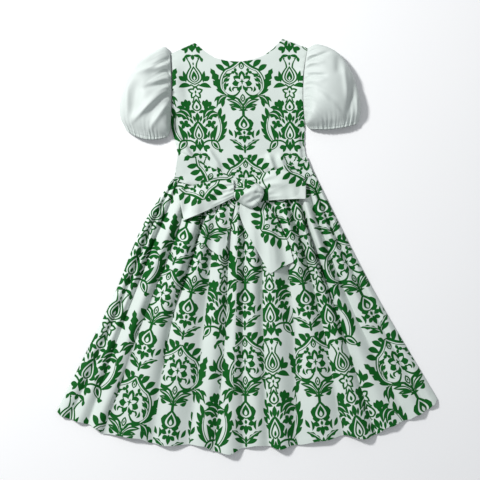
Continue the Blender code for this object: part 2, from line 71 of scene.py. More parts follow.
# The bodice, as the solids have it.
LEFT_SIDE = {
    "y": (137, 157, 182, 209, 244, 300, 350, 398),
    "x": (-150, -147, -143, -147, -156, -154, -154, -157),
}
RIGHT_SIDE = {
    "y": (151, 175, 209, 257, 300, 356, 409),
    "x": (137, 126, 119, 119, 115.5, 116, 125),
}
NECK_AND_SHOULDERS = {
    "x": (-158, -108, -90, -67, -43, -14, 13, 36, 55, 74, 126),
    "y": (398, 420, 404, 389, 383, 381, 385, 394, 408, 428, 409),
}
WAIST = {"x": (-153, -97, -31, 30, 89, 139), "y": (139, 126, 116, 110, 128, 152)}
BODICE_COLUMNS = 150
BODICE_ROWS = 150
BODICE_SWELL = 3.4
BODICE_FOLD_DEPTH = 2.2
BACK_TRIM = 0.6
BACK_WAVE = 0.45
PUCKER_HEIGHT = 0.35
PUCKER_REACH = 9.0
WAIST_RISE = 2.0
ARMHOLE_RISE = 8.0
ARMHOLE_REACH = 26.0
LEFT_ARMHOLE = (244, 398)
RIGHT_ARMHOLE = (257, 409)

# Soft ridges and troughs: both ends, the widths on the left and right of the way down, and the height.
BODICE_FOLDS = (
    (-154, 244, -112, 184, 12, 4, 4.2), (-146, 216, -96, 166, 9, 3.5, 3.2),
    (-146, 200, -130, 150, 4, 6, 1.6), (-96, 196, -70, 158, 12, 10, -2), (-84, 204, -54, 158, 14, 6, 3.4),
    (44, 190, 58, 150, 7, 6, 4), (66, 190, 80, 148, 6, 7, 3.5), (30, 184, 44, 156, 5, 5, 1.5),
    (104, 250, 112, 170, 10, 4, 3.6), (88, 280, 98, 200, 14, 10, 1.6), (-140, 372, -120, 300, 9, 16, -1.8),
    (100, 380, 92, 300, 12, 12, -1.4), (-40, 340, 20, 300, 30, 30, 0.8), (20, 260, -30, 230, 26, 26, 0.8),
)

# The skirt: one row for each crease, then the fold to its right.
CREASE = (
    "waist_x", "knee_x", "mid_x", "hem_x", "hem_y", "lean", "knee_rise", "mid_rise", "hem_rise",
    "crest_hem_y",
)
CREASES = (
    (-153, -202, -275, -394, -342, 0.45, 9, 8, 6, -352),
    (-148, -186, -256, -366, -357, 0.50, 12, 10, 8, -363),
    (-139, -173, -240, -329, -368, 0.60, 15, 12, 10, -377),
    (-116, -137, -206, -298, -388, 0.64, 20, 16, 11, -396),
    (-85, -97, -152, -196, -407, 0.42, 15, 13, 10, -412),
    (-62, -68, -86, -120, -410, 0.55, 12, 11, 9, -413),
    (-37, -38, -43, -68, -424, 0.50, 14, 13, 14, -429),
    (-8, -6, -8, -6, -417, 0.50, 14, 12, 9, -412),
    (19, 29, 33, 46, -413, 0.40, 17, 15, 14, -419),
    (50, 70, 96, 102, -411, 0.55, 20, 15, 10, -402),
    (77, 101, 150, 200, -391, 0.60, 21, 16, 12, -398),
    (99, 120, 182, 267, -389, 0.42, 16, 15, 10, -373),
    (118, 143, 209, 333, -359, 0.50, 12, 11, 8, -349),
    (132, 160, 241, 375, -337, 0.55, 8, 8, 6, -328),
    (139, 173, 257, 394, -317, 0.50, 0, 0, 0, -317),
)
CREASE_COLUMNS = dict(zip(CREASE, np.array(CREASES, float).T))
DOWN_THE_SKIRT = (0.0, 0.15, 0.5, 1.0)
SKIRT_ROWS = 170
SAMPLES_A_FOLD = 14
GATHER_RISE = 2.5
CREASE_FLOOR = 0.6
FOLD_FULLNESS = 0.62
HEM_DEPTH = 14.0
HEM_RISE = 0.35
SKIRT_FOLDS = (
    (-178, 60, -206, -60, 6, 9, 2), (-150, 40, -172, -50, 7, 5, -3), (-122, 10, -150, -110, 5, 8, 2.5),
    (-182, -95, -215, -150, 9, 7, -3), (-228, -200, -285, -330, 7, 4, 3), (-172, -250, -196, -400, 3, 7, 3),
    (-76, -25, -80, -90, 4, 5, -2), (-108, -170, -124, -330, 12, 10, 1.6),
    (-43, -200, -62, -395, 3, 3, -3.5), (-32, -285, -24, -345, 9, 9, -2.2), (-20, 60, -14, 0, 4, 5, 3),
    (-104, 62, -108, 10, 6, 5, 3.5), (-91, 64, -96, 8, 3, 4, -4), (-31, 84, -24, 24, 3, 4, -4.5),
    (40, 92, 50, 34, 4, 3, -5), (86, 96, 96, 26, 3, 4, -5), (111, 98, 124, 30, 3, 4, -4),
    (34, -100, 46, -415, 3, 5, 2.6), (62, 90, 90, 20, 5, 6, 3), (86, -80, 108, -190, 8, 5, -2.4),
    (166, -185, 196, -290, 5, 9, 2.6), (112, 60, 134, -10, 4, 7, 2.6), (232, -90, 250, -130, 9, 9, -2),
    (250, -160, 300, -270, 10, 12, -2), (210, -330, 228, -385, 8, 8, 2),
    (-330, -250, -356, -330, 10, 10, 1.6), (-96, -350, -104, -405, 7, 7, 2),
    (76, -330, 82, -405, 8, 8, 2.2), (140, -300, 150, -390, 9, 9, 1.8),
)
GATHERS = 46
GATHER_HEIGHT = 1.5
BACK_SHARE = 0.10
BACK_RISE_MOST = 1.9
BACK_HEM_TRIM = 1.2

# The puff sleeves. One row for each station from armhole to cuff: the share of the way along, the underarm
# side's x and y, the outer side's x and y, the height, and how far the ring bows.
LEFT_SLEEVE = (
    (0.00, -157.6, 244, -158.6, 398, 12, 2.5), (0.08, -157.8, 242.5, -168, 411, 20, 0),
    (0.20, -158.1, 241, -196, 399, 31, 0), (0.35, -158.4, 239, -230, 374, 38, 0),
    (0.50, -158.8, 237, -253, 335, 40, 0), (0.65, -159.4, 235, -262, 294, 37, 0),
    (0.80, -160.2, 232, -261, 264, 29, -3), (0.92, -161.6, 229, -253, 247, 19, -8),
    (1.00, -163, 226, -249, 238, 15, -12),
)
RIGHT_SLEEVE = (
    (0.00, 119.6, 257, 125.7, 409, 12, -6.4), (0.08, 120.1, 256, 139, 416, 20, -2),
    (0.20, 120.5, 254.5, 163, 412, 31, 0), (0.35, 121, 253, 192, 394, 38, 0),
    (0.50, 121.7, 251.5, 215, 360, 40, 0), (0.65, 122.7, 250, 230, 318, 37, 0),
    (0.80, 124, 248, 235, 281, 29, 2), (0.92, 126, 245, 232, 261, 19, 4),
    (1.00, 128.5, 242, 229, 253, 15, 6),
)
LEFT_SLEEVE_FOLDS = (
    (-155, 388, -192, 368, 5, 5, -5), (-156, 377, -238, 354, 4, 7, 3.5), (-155, 358, -206, 352, 8, 9, -5),
    (-155, 347, -200, 334, 5, 5, 2.5), (-155, 336, -212, 322, 5, 5, -4), (-152, 333, -236, 254, 8, 5, 6.5),
    (-166, 318, -206, 258, 9, 12, -5.5), (-154, 304, -200, 238, 5, 6, 4.5),
    (-226, 340, -233, 264, 13, 13, -7.5), (-246, 330, -244, 262, 5, 6, 2.4),
    (-228, 366, -184, 386, 6, 6, -3), (-210, 392, -170, 402, 6, 5, 2),
)
RIGHT_SLEEVE_FOLDS = (
    (122, 382, 170, 399, 4, 4, -6), (122, 376, 160, 378, 4, 5, 2.5), (120, 352, 162, 349, 4, 4, -5),
    (120, 344, 160, 338, 5, 5, 2), (188, 392, 187, 352, 8, 10, -5), (198, 372, 206, 300, 6, 5, 4),
    (222, 350, 207, 264, 7, 9, -7), (140, 330, 180, 300, 6, 7, -1.8), (150, 312, 194, 262, 6, 6, 2.2),
    (132, 300, 180, 258, 6, 6, -1.8), (172, 296, 202, 258, 5, 5, 2), (126, 282, 158, 250, 6, 5, 2.4),
    (226, 310, 228, 262, 4, 5, 3),
)
SLEEVE_RING_COUNT = 120
RING_TOP_POINTS = 190
RING_FLAT_POINTS = 24
SLEEVE_EDGE_ROUND = 4.0
SLEEVE_LENGTH = 180
SLEEVE_UNDER_WAVE = 0.35
SLEEVE_FULLNESS = 0.58
SLEEVE_FOLD_DEPTH = 1.0
ARMHOLE_GATHERS = 8
CUFF_GATHERS = 12
ARMHOLE_GATHER_HEIGHT = 2.0
CUFF_GATHER_HEIGHT = 1.4

# Fine gathers at each end of a sleeve: how many, and their narrowest and widest, shortest and longest, lowest
# and highest, with the widths and lengths as shares of the sleeve's.
FINE_CUFF_GATHERS = (30, (0.006, 0.014), (0.05, 0.16), (0.8, 2.4))
FINE_ARMHOLE_GATHERS = (20, (0.008, 0.020), (0.05, 0.22), (0.8, 2.6))
ELASTIC_AT = 0.955
ELASTIC_DEPTH = 0.8

# The sash bands and the bow's tails: ribbon edges as listed points, upper or left edge first.
SASH_LEFT = {
    "first": ((-142, 195), (-107, 181), (-72, 162), (-36, 146), (-12, 138)),
    "second": ((-149, 135), (-123, 128), (-97, 122), (-60, 114), (-12, 108)),
}
SASH_RIGHT = {
    "first": ((122, 186), (100, 176), (75, 165), (45, 152), (-8, 138)),
    "second": ((137, 149), (115, 137), (89, 124), (50, 108), (-8, 108)),
}
TAIL_LEFT = {
    "first": ((-34, 118), (-54, 99), (-72, 80), (-87, 52), (-95, 29), (-101, 11)),
    "second": ((-12, 106), (-24, 88), (-29, 66), (-34, 37), (-41, 6), (-50, -25)),
}
TAIL_RIGHT = {
    "first": ((-8, 104), (-16, 74), (-7, 42), (10, 10), (27, -21), (47, -57)),
    "second": ((24, 112), (40, 86), (60, 60), (75, 26), (87, 0), (96, -32)),
}
RIBBON_STEPS = 72
RIBBON_ACROSS = 40
RIBBON_REACH = 3.0
RIBBON_BRIDGING = 60
SASH_WAVE = 1.5
TAIL_WAVE = 2.0

# Pleats along a ribbon: where across it (0 to 1), how far along they start and end, width and height.
SASH_PLEATS = (
    (0.16, 0.45, 1.2, 0.07, 2.4), (0.36, 0.30, 1.2, 0.08, 2.0), (0.55, 0.55, 1.2, 0.06, 2.4),
    (0.74, 0.38, 1.2, 0.07, 2.2), (0.90, 0.60, 1.2, 0.05, 1.6),
)
TAIL_PLEATS = (
    (0.24, -0.2, 0.34, 0.10, 3.2), (0.50, -0.2, 0.52, 0.12, 3.6), (0.78, -0.2, 0.30, 0.09, 2.8),
    (0.66, 0.30, 1.05, 0.16, 1.4),
)

# The bow's loops: the gathered side by the knot and the folded far end, upper edge first, and the height.
LOOP_LEFT = ((-28, 136), (-26, 101), (-143, 117), (-130, 53), 15.0)
LOOP_RIGHT = ((20, 142), (34, 93), (122, 130), (121, 97), 14.0)
LOOP_UPPER_BULGE = {"bow_loop_left": 4.0, "bow_loop_right": 20.0}
LOOP_LOWER_BULGE = {"bow_loop_left": -2.0, "bow_loop_right": 1.0}
LOOP_END_HEIGHT = 9.0
LOOP_PINCH_HEIGHT = 3.6
LOOP_STEPS = 64
LOOP_ACROSS = 56
LOOP_BEND_POINTS = 17
LOOP_REACH = 5.0
LOOP_BRIDGING = 40
LOOP_PLEATS = (
    (0.20, -0.2, 0.42, 0.09, 2.6), (0.46, -0.2, 0.62, 0.11, 3.0), (0.72, -0.2, 0.36, 0.09, 2.6),
    (0.88, -0.2, 0.52, 0.06, 1.6),
)

# The knot: a plump cushion over the gathered ribbon.
KNOT_CENTRE = (4, 108)
KNOT_HALF_SIZE = (29, 26)
KNOT_TURN = math.radians(-28)
KNOT_HEIGHT = 13.0
KNOT_RINGS = 44
KNOT_SPOKES = 140
KNOT_REACH = 3.0
KNOT_FOLDS = (
    (-20, 98, 22, 118, 6, 5, 3.6), (-2, 86, 30, 102, 6, 4, -5), (-22, 130, -2, 119, 2.5, 2.5, -4),
    (-12, 137, 6, 127, 2.5, 2.5, -3.6), (-28, 118, -8, 112, 2.5, 3, -4), (-24, 96, -6, 84, 3, 3, -4),
    (10, 132, 26, 120, 3, 4, 2.4), (16, 110, 34, 106, 2.5, 3, -3),
)

# The print. One row for each shape, in millimetres from its column's middle line and down from the top:
# both ends, the half width at the fattest place, how far it bends sideways, whether it is fattest
# towards its tip (+) or base (-), the notches along its edge, 1 for a stem of even width, and 1 for ink
# or 0 for bare cloth. A row that ends early goes on as the last five values do here.
SHAPE_REST = (0, 0, 0, 0, 1)
MEDALLION = (
    # outer ring of leaves
    (6, -4, 38, 18, 3.6, -3.5, 0, 0, 1), (5, -2, 14, -12.5, 4, 1.2, 0.2), (13, 4, 27, -13, 5.2, 1.6, 0.2),
    (24, 11, 41, -5, 5.4, 1.6, 0.2), (34, 20, 53, 5, 5.2, 1.6, 0.2), (44, 60, 64, 13, 6.6, 1, 0.3, 4),
    (44, 62, 61, 38, 5, 1.5, 0.4, 2), (40, 68, 55, 56, 3.4, 1.8, 0.4),
    # double stem that frames the medallion
    (-7, -13, 1, -5, 1.5, -2, 0, 0, 1), (0, -6, 31, 16, 3.2, -3, 0, 0, 1),
    (28, 13, 44, 58, 3.6, 7, 0, 0, 1), (45, 55, 14, 75, 3.2, 4.5, 0, 0, 1),
    (0, -5, 31, 17, 1.2, -3, 0, 0, 1, 0), (29, 15, 43, 57, 1.4, 7, 0, 0, 1, 0),
    (44, 54, 14, 74, 1.2, 4.5, 0, 0, 1, 0),
    # bud, trefoils and the flower with its star
    (0, 15, 0, -2, 5.4, 0, -0.3), (0, 13, 0, 3, 2.8, 0, -0.3, 0, 0, 0), (0, 11, 0, 6, 1.3),
    (13, 21, 13, 12, 3, 0, 0.2), (13, 20, 22, 22, 3, 0, 0.2), (14, 20, 8, 27, 2.6, 0, 0.2),
    (0, 38, 0, 18, 6.6, 0, 0.2), (2, 38, 18, 30, 6.2, 0, 0.2), (3, 43, 21, 45, 6, 0, 0.2),
    (2, 46, 10, 60, 5, 0, 0.2), (0, 43, 0, 24, 3.6, 0, -0.2, 0, 0, 0),
    (0, 41, 15, 35, 3.2, 0, -0.2, 0, 0, 0), (0, 40, 10, 53, 3.4, 0, -0.2, 0, 0, 0), (0, 34, 0, 47, 1.6),
    (-5, 40, 5, 40, 1.4),
    # acanthus leaves inside the frame
    (38, 43, 20, 23, 4.6, -4.5, 0.1, 3), (39, 52, 25, 34, 4, -4.5, 0.2, 2),
    (37, 60, 28, 44, 3.4, -3, 0.2, 2), (39, 46, 26, 30, 0.9, -6, 0, 0, 0, 0),
    (39, 55, 29, 40, 0.8, -5.5, 0, 0, 0, 0),
    # scrolls
    (33, 66, 6, 60, 1.9, 7, 0, 0, 1), (6, 63, 16, 53, 1.8, 4.5, 0, 0, 1),
    (15, 52, 20, 60, 1.9, 2.5, 0, 0, 1), (22, 62, 25, 50, 2.4, -3),
    # diamond, drooping leaves and fan below
    (0, 66, 0, 83, 5.4), (0, 69, 0, 80, 2.7, 0, 0, 0, 0, 0), (0, 72, 0, 77, 1.2),
    (5, 80, 36, 70, 2, 3, 0, 0, 1), (29, 69, 57, 94, 5.6, 6.5, -0.2, 3), (39, 74, 45, 93, 3.8, 0.5, 0.2),
    (45, 71, 61, 82, 2.6, 2.5), (30, 70, 53, 88, 0.9, 6.5, 0, 0, 0, 0), (0, 98, 35, 77, 4, 4.5, 0.4),
    (2, 98, 30, 88, 3.4, 2, 0.4), (1, 92, 12, 76, 2.3, 1.5, 0.3), (0, 98, 0, 84, 2.2),
    (3, 95, 31, 79, 1, 4.6, 0.3, 0, 0, 0), (4, 97, 26, 89, 0.7, 2, 0.3, 0, 0, 0),
    (3, 99, 25, 92, 1.5, 4.5, 0, 0, 1), (27, 92, 14, 98, 3.2, 2.2),
    # vase
    (-10, 100, 10, 100, 2.4, 1), (0, 96, 0, 122, 2.9, 0, 0, 0, 1), (0, 141, 0, 108, 15.5, 0, -0.5),
    (2, 129, 21, 126, 9.4, 0, 0.2), (0, 135, 18, 138, 7, 0, 0.1), (0, 139, 0, 113, 10.2, 0, -0.65, 0, 0, 0),
    (0, 136.5, 0, 116, 6.8, 0, -0.55), (0, 135, 0, 125, 3.2, 0, -0.4, 0, 0, 0),
    # sprays below the vase
    (0, 142, 0, 150, 2.8), (5, 150, 17, 145, 4.2, 0, 0.2), (3, 153, 13, 159, 3.8, 0, 0.2),
    (0, 151, 0, 168, 4.6, 0, -0.2), (21, 158, 22, 141, 2.9, 3.5), (25, 153, 33, 139, 3.4, -1),
    (1, 179, 33, 160, 3.8, 2.5, 0.3, 3), (1, 183, 23, 174, 3.6, 1, 0.3), (0, 184, 0, 170, 2.8, 0, 0.2),
    (3, 176, 30, 160, 0.8, 2.4, 0, 0, 0, 0), (0, 180, 0, 189, 2.4),
)
ROUNDEL = (
    # lyre vase
    (0, 47, 0, 3, 16.5, 0, -0.5), (9, 25, 13, -9, 2.2, 5.5, 0, 0, 1),
    (0, 44.5, 0, 6, 13, 0, -0.55, 0, 0, 0), (6, 25, 10, -7, 1.5, 5, 0, 0, 1, 0),
    (2, 20, 5, -6, 2, 2.5, 0, 0, 1, 0), (0, 42.5, 0, 8, 9.8, 0, -0.6),
    (0, 40.5, 0, 13, 7.2, 0, -0.6, 0, 0, 0), (0, 38.5, 0, 18, 5.4, 0, -0.55),
    (0, 37, 0, 29, 2, 0, -0.4, 0, 0, 0), (0, -13, 19, -7, 3.2, 3, 0.1), (15, -11, 19, 0, 3, 1, 0.2),
    (0, -15.5, 0, -4, 3.6, 0, 0.1), (0, 0, 0, 7, 1.5),
    # leaves at its sides
    (18, 42, 22, 18, 3.6, 0.5), (18, 39, 32, 30, 5, 0, 0.2), (8, 49, 34, 53, 4.8, 3.5),
    (0, 54, 10, 46, 1.3, 1, 0, 0, 1),
    # star flower and chain
    (0, 63, 0, 49, 6.2), (0, 62, 16, 57, 5.4), (0, 60, 10, 75, 5.6), (0, 63, 0, 53, 3.2, 0, 0, 0, 0, 0),
    (0, 62, 12, 58.5, 2.7, 0, 0, 0, 0, 0), (0, 61, 7.5, 72, 2.8, 0, 0, 0, 0, 0), (0, 58, 0, 65, 2),
    (5, 72, 9, 84, 1.3, -1.5, 0, 0, 1), (0, 102, 0, 75, 9.4, 0, -0.6),
    (0, 99.5, 0, 81, 6.2, 0, -0.6, 0, 0, 0), (0, 97, 0, 88, 2.6, 0, -0.3), (3, 105, 15, 100, 3.2, 0, 0.3),
    # rosebuds
    (17, 93, 15, 79, 4.2, 0, 0.2), (20, 94, 23, 77, 4.6, 0, 0.2), (22, 93, 32, 82, 4.6, 0, 0.2),
    (20, 86, 19, 101, 4.6, 0, -0.2), (20, 96, 14, 110, 1.7, -2, 0, 0, 1),
    # ring of leaves
    (12, 117, 37, 97, 6.6, 5, 0.1), (18, 121, 50, 108, 7.8, 6.5, 0, 3),
    (16, 114, 36, 99, 1.1, 5, 0, 0, 0, 0), (22, 118, 47, 108, 1.1, 6.5, 0, 0, 0, 0),
    (22, 98, 42, 94, 3.6, 2, 0.2), (45, 107, 38, 166, 4.8, 11, 0, 0, 1),
    (44, 109, 37, 165, 1.1, 9.5, 0, 0, 1, 0), (47, 117, 52, 94, 4.2, 1, 0.2),
    (51, 129, 60, 107, 4.3, 1, 0.2), (52, 142, 63, 122, 4.2, 1, 0.2), (50, 153, 62, 137, 3.8, 1, 0.2),
    (45, 163, 58, 151, 3.2, 1, 0.2), (33, 164, 42, 130, 4.2, 3, 0.1), (26, 161, 32, 141, 3.4, 1),
    (21, 157, 24, 142, 2.5, 1), (29, 129, 22, 121, 4, 0, 0.2), (29, 128, 39, 123, 4, 0, 0.2),
    (29, 127, 34, 138, 3.8, 0, 0.2), (29, 128, 20, 134, 3.4, 0, 0.2),
    # rays and tulip
    (0, 124, 0, 104, 4.8, 0, -0.1), (5, 124, 9, 111, 2.4, 0, 0.2), (10, 128, 17, 116, 2.5, 0, 0.2),
    (15, 134, 24, 127, 2.5, 0, 0.2), (0, 146, 0, 121, 11, 0, -0.2), (1, 144, 20, 139, 9, 0, 0.1),
    (0, 151, 20, 154, 6.6, 0, 0.1), (0, 163, 0, 126, 10, 0, -0.6, 0, 0, 0),
    (0, 160.5, 0, 130, 7.8, 0, -0.6), (0, 158, 0, 136, 5.2, 0, -0.6, 0, 0, 0),
    (0, 156, 0, 146, 2.4, 0, -0.3),
    # hanging buds and spray below
    (4, 158, 9, 174, 3.2), (9, 164, 3, 180, 2.6), (0, 163, 0, 184, 4, 0, 0.2),
    (8, 174, 23, 177, 4.4, 0, 0.3), (8, 171, 15, 186, 3.2, 0, 0.3), (9, 168, 31, 163, 1.7, 3, 0, 0, 1),
    (27, 160, 46, 184, 7.6, 0, -0.4), (29, 164, 43, 181, 5.2, 0, -0.4, 0, 0, 0),
    (30, 166, 41, 179, 2.9, 0, -0.2), (41, 179, 48, 187, 3.4, 0, 0.1), (42, 184, 52, 181, 2.6, 0, 0.1),
)
REPEAT_ACROSS = 199.0
REPEAT_DOWN = 204.0
MEDALLION_LEAD = 14.0
ROUNDEL_LEAD = 16.0
INK_SPREAD = 0.15
INK_BLUR = 0.25
STEM_ENDS = 5.0

# How the print lies on each part of the skirt: the creases that bound it, the dress point that shows the
# middle of a motif of that column, and the next one down where the column doesn't follow the creases.
PRINT_GROUPS = (
    (0, 3, "roundel", -322.7, -248.4), (3, 4, "medallion", -242, -320.9),
    (4, 5, "medallion", -142.6, -256.7), (5, 6, "roundel", -49.3, -137.7, -41.2, -368.5),
    (6, 6.57, "roundel", -87.8, -137.7, -91.9, -368.5), (6.57, 8, "medallion", -3.9, -238),
    (8, 9, "roundel", 47.8, -132.5), (9, 10, "medallion", 141, -238),
    (10, 11, "roundel", 227.9, -366.4), (11, 14, "medallion", 310.7, -238),
)
MOTIF_MIDDLE = {"medallion": (0.0, 40.0), "roundel": (REPEAT_ACROSS / 2, 138.0)}
HEM_STRETCH = 0.24

# On the other pieces: the turn of the print in degrees, the dress point that shows a medallion's middle,
# and 1 where only the bare cloth between two rows of motifs shows beyond that medallion's top.
PRINT_TURNS = {
    "sash_left": (155, -61, 173, 0),
    "sash_right": (186, 121.6, 176.9, 0),
    "bow_loop_left": (194, -100.2, 139.8, 1),
    "bow_loop_right": (186, 121.6, 176.9, 1),
    "bow_tail_left": (-20, -62, 72, 0),
    "bow_tail_right": (123, 67.7, 57.1, 1),
    "bow_knot": (225, -38, 149, 1),
}
BARE_BAND_TOP = -16.5
BARE_BAND_DEPTH = 3.0
BARE_BAND_FADE = 40.0
BACK_PRINT_REACH = 1.9 * REPEAT_ACROSS
BACK_PRINT_WAIST = 0.42
BODICE_PRINT_X = -12.0
BODICE_PRINT_Y = 380.0
BODICE_SLANTS = {"x": (-114, -12, 85), "slant": (0.089, 0.048, 0.010)}

# Each colour varies slightly between two.
CLOTH_COLOURS = ((0.640, 0.712, 0.664, 1), (0.680, 0.745, 0.702, 1))
INK_COLOURS = ((0.0, 0.075, 0.006, 1), (0.002, 0.118, 0.012, 1))
SATIN_COLOURS = ((0.590, 0.645, 0.615, 1), (0.630, 0.680, 0.652, 1))
FLOOR_COLOURS = ((0.98, 0.98, 0.98, 1), (1.0, 1.0, 1.0, 1))

# Roughness, specular level, threads a metre with their bump's strength and depth in metres, and the slubs'
# scale, strength and depth in metres.
COTTON = (0.72, 0.16, 1800.0, 0.25, 0.00008, 60.0, 0.18, 0.0012)
SATIN = (0.5, 0.25, 2600.0, 0.2, 0.00005, 38.0, 0.22, 0.0016)


def smooth(at, knots, values):
    """A smooth curve through the values at the knots, read at each place in at."""
    at = np.asarray(at, float)
    knots = np.asarray(knots, float)
    values = np.asarray(values, float)
    slopes = np.gradient(values, knots)
    i = np.clip(np.searchsorted(knots, at, side="right") - 1, 0, len(knots) - 2)
    width = knots[i + 1] - knots[i]
    t = np.clip((at - knots[i]) / width, 0.0, 1.0)
    rise = t * t * (3 - 2 * t)
    bend = slopes[i] * t * (1 - t) ** 2 - slopes[i + 1] * (1 - t) * t ** 2
    return values[i] * (1 - rise) + values[i + 1] * rise + bend * width


def ease(t):
    return 0.5 - 0.5 * np.cos(np.pi * np.clip(t, 0.0, 1.0))


def normals_of(grid):
    """Upward unit normals of a grid of points."""
    normal = np.cross(np.gradient(grid, axis=1), np.gradient(grid, axis=0))
    normal /= np.linalg.norm(normal, axis=2, keepdims=True)
    return normal * np.sign(normal[..., 2:3])


def fold_heights(x, y, folds):
    """The sum of the soft ridges and troughs of a table, each dying away at both ends."""
    total = np.zeros_like(x)
    for x0, y0, x1, y1, left, right, height in folds:
        run_x, run_y = x1 - x0, y1 - y0
        length = math.hypot(run_x, run_y)
        along = ((x - x0) * run_x + (y - y0) * run_y) / length ** 2
        aside = ((y - y0) * run_x - (x - x0) * run_y) / length
        width = np.where(aside < 0, left, right)
        total += height * np.exp(-((aside / width) ** 2) - (2.2 * (along - 0.5)) ** 4)
    return total


def ripple(x, y, height, size, seed):
    """A slight unevenness, the sum of a few waves that run in many directions."""
    draw = np.random.default_rng(seed)
    total = np.zeros_like(x)
    for _ in range(7):
        turn, phase, scale = draw.uniform(0, math.pi), draw.uniform(0, 2 * math.pi), draw.uniform(0.7, 1.6)
        total += np.sin((x * math.cos(turn) + y * math.sin(turn)) * 2 * math.pi / (size * scale) + phase)
    return height * total / 4


def make_object(name, vertices, faces, uvs, material):
    """An object from millimetre points, with one print coordinate for each corner of each face."""
    mesh = bpy.data.meshes.new(name)
    mesh.from_pydata((vertices * MM).tolist(), [], faces)
    layer = mesh.uv_layers.new(name="print")
    layer.data.foreach_set("uv", (np.asarray(uvs, float) * MM).ravel())
    mesh.materials.append(material)
    mesh.shade_smooth()
    mesh.set_sharp_from_angle(angle=SHARP_ANGLE)
    thing = bpy.data.objects.new(name, mesh)
    bpy.context.scene.collection.objects.link(thing)
    return thing


def grid_faces(rows, columns, start, wrap=False):
    """Quads of a grid, each as corners (0, 0), (0, 1), (1, 1), (1, 0), closed across if it wraps."""
    r, c = np.meshgrid(np.arange(rows - 1), np.arange(columns if wrap else columns - 1), indexing="ij")
    after = (c + 1) % columns
    a, b = start + r * columns + c, start + r * columns + after
    return np.stack([a, b, b + columns, a + columns], axis=-1)


def corner_uvs(block):
    return np.stack([block[:-1, :-1], block[:-1, 1:], block[1:, 1:], block[1:, :-1]], axis=2)


def shell(name, top, under, prints, material):
    """A closed thin shell between two grids of points. Prints are blocks of columns, side by side."""
    rows, columns = top.shape[:2]
    shift = rows * columns
    upper = grid_faces(rows, columns, 0)
    lower = grid_faces(rows, columns, shift)
    upper_uv = lower_uv = np.concatenate([corner_uvs(block) for block in prints], axis=1)
    flip = np.cross(top[0, 1] - top[0, 0], top[1, 0] - top[0, 0])[2] < 0
    if flip:
        upper = upper[..., ::-1]
        upper_uv = upper_uv[..., ::-1, :]
    else:
        lower = lower[..., ::-1]
        lower_uv = lower_uv[..., ::-1, :]
    number = np.arange(shift).reshape(rows, columns)
    sides = (number[0], number[1:, -1], number[-1, -2::-1], number[-2:0:-1, 0])
    loop = np.concatenate(sides).tolist()
    rim = []
    for a, b in zip(loop, loop[1:] + loop[:1]):
        rim.append((a, b, b + shift, a + shift) if flip else (b, a, a + shift, b + shift))
    joined = [block[:, :-1] for block in prints] + [prints[-1][:, -1:]]
    point_uv = np.concatenate(joined, axis=1).reshape(-1, 2)
    rim_uv = [point_uv[[c % shift for c in face]] for face in rim]
    faces = upper.reshape(-1, 4).tolist() + lower.reshape(-1, 4).tolist() + rim
    uvs = np.concatenate([upper_uv.reshape(-1, 2), lower_uv.reshape(-1, 2), np.concatenate(rim_uv)])
    vertices = np.concatenate([top.reshape(-1, 3), under.reshape(-1, 3)])
    return make_object(name, vertices, faces, uvs, material)


def tube(name, outer, inner, uv, material):
    """A tube open at both ends, from its outer and inner rings of points."""
    rings, around = outer.shape[:2]
    shift = rings * around
    skin = grid_faces(rings, around, 0, wrap=True).reshape(-1, 4)
    inside = grid_faces(rings, around, shift, wrap=True).reshape(-1, 4)[:, ::-1]
    k = np.arange(around)
    n = (k + 1) % around
    last = (rings - 1) * around
    first_rim = np.stack([n, k, shift + k, shift + n], axis=1)
    last_rim = np.stack([last + k, last + n, shift + last + n, shift + last + k], axis=1)
    faces = np.concatenate([skin, inside, first_rim, last_rim])
    flat_uv = uv.reshape(-1, 2)
    uvs = flat_uv[(faces % shift).reshape(-1)]
    vertices = np.concatenate([outer.reshape(-1, 3), inner.reshape(-1, 3)])
    thing = make_object(name, vertices, faces.tolist(), uvs, material)
    if signed_volume(vertices, faces) < 0:
        thing.data.flip_normals()
    return thing


def signed_volume(vertices, faces):
    a, b, c, d = (vertices[faces[:, i]] for i in range(4))
    return float((np.cross(a, b) * c).sum() + (np.cross(a, c) * d).sum())


def inset(profile, distance):
    """The closed profile moved inwards by a distance, mitred at its corners."""
    before = profile - np.roll(profile, 1, axis=0)
    after = np.roll(profile, -1, axis=0) - profile
    before /= np.linalg.norm(before, axis=1, keepdims=True)
    after /= np.linalg.norm(after, axis=1, keepdims=True)
    inward = np.column_stack([-(before + after)[:, 1], (before + after)[:, 0]])
    inward /= np.linalg.norm(inward, axis=1, keepdims=True)
    side = np.column_stack([-after[:, 1], after[:, 0]])
    mitre = np.clip((inward * side).sum(axis=1), 0.5, 1.0)
    return profile + inward * (distance / mitre)[:, None]


def side_x(side, y):
    return smooth(y, side["y"], side["x"])


def waist_y(x):
    return smooth(x, WAIST["x"], WAIST["y"])


def turned_print(name, x, y):
    """Print coordinates on a piece whose cloth was cut or tied at a turn."""
    degrees, motif_x, motif_y, bare = PRINT_TURNS[name]
    turn = math.radians(degrees)
    dx, dy = x - motif_x, y - motif_y
    middle_x, middle_y = MOTIF_MIDDLE["medallion"]
    across = dx * math.cos(turn) + dy * math.sin(turn) + middle_x
    down = dx * math.sin(turn) - dy * math.cos(turn) + middle_y
    if bare:
        start = BARE_BAND_TOP + BARE_BAND_DEPTH
        beyond = np.clip(start - down, 0.0, None)
        squeezed = start - BARE_BAND_DEPTH * (1 - np.exp(-beyond / BARE_BAND_FADE))
        down = np.where(down < start, squeezed, down)
    return np.stack([across, -down], axis=-1)


def bodice_print(x, y):
    slant = np.interp(x, BODICE_SLANTS["x"], BODICE_SLANTS["slant"])
    return np.stack([x - BODICE_PRINT_X - slant * (BODICE_PRINT_Y - y), y - BODICE_PRINT_Y], axis=-1)


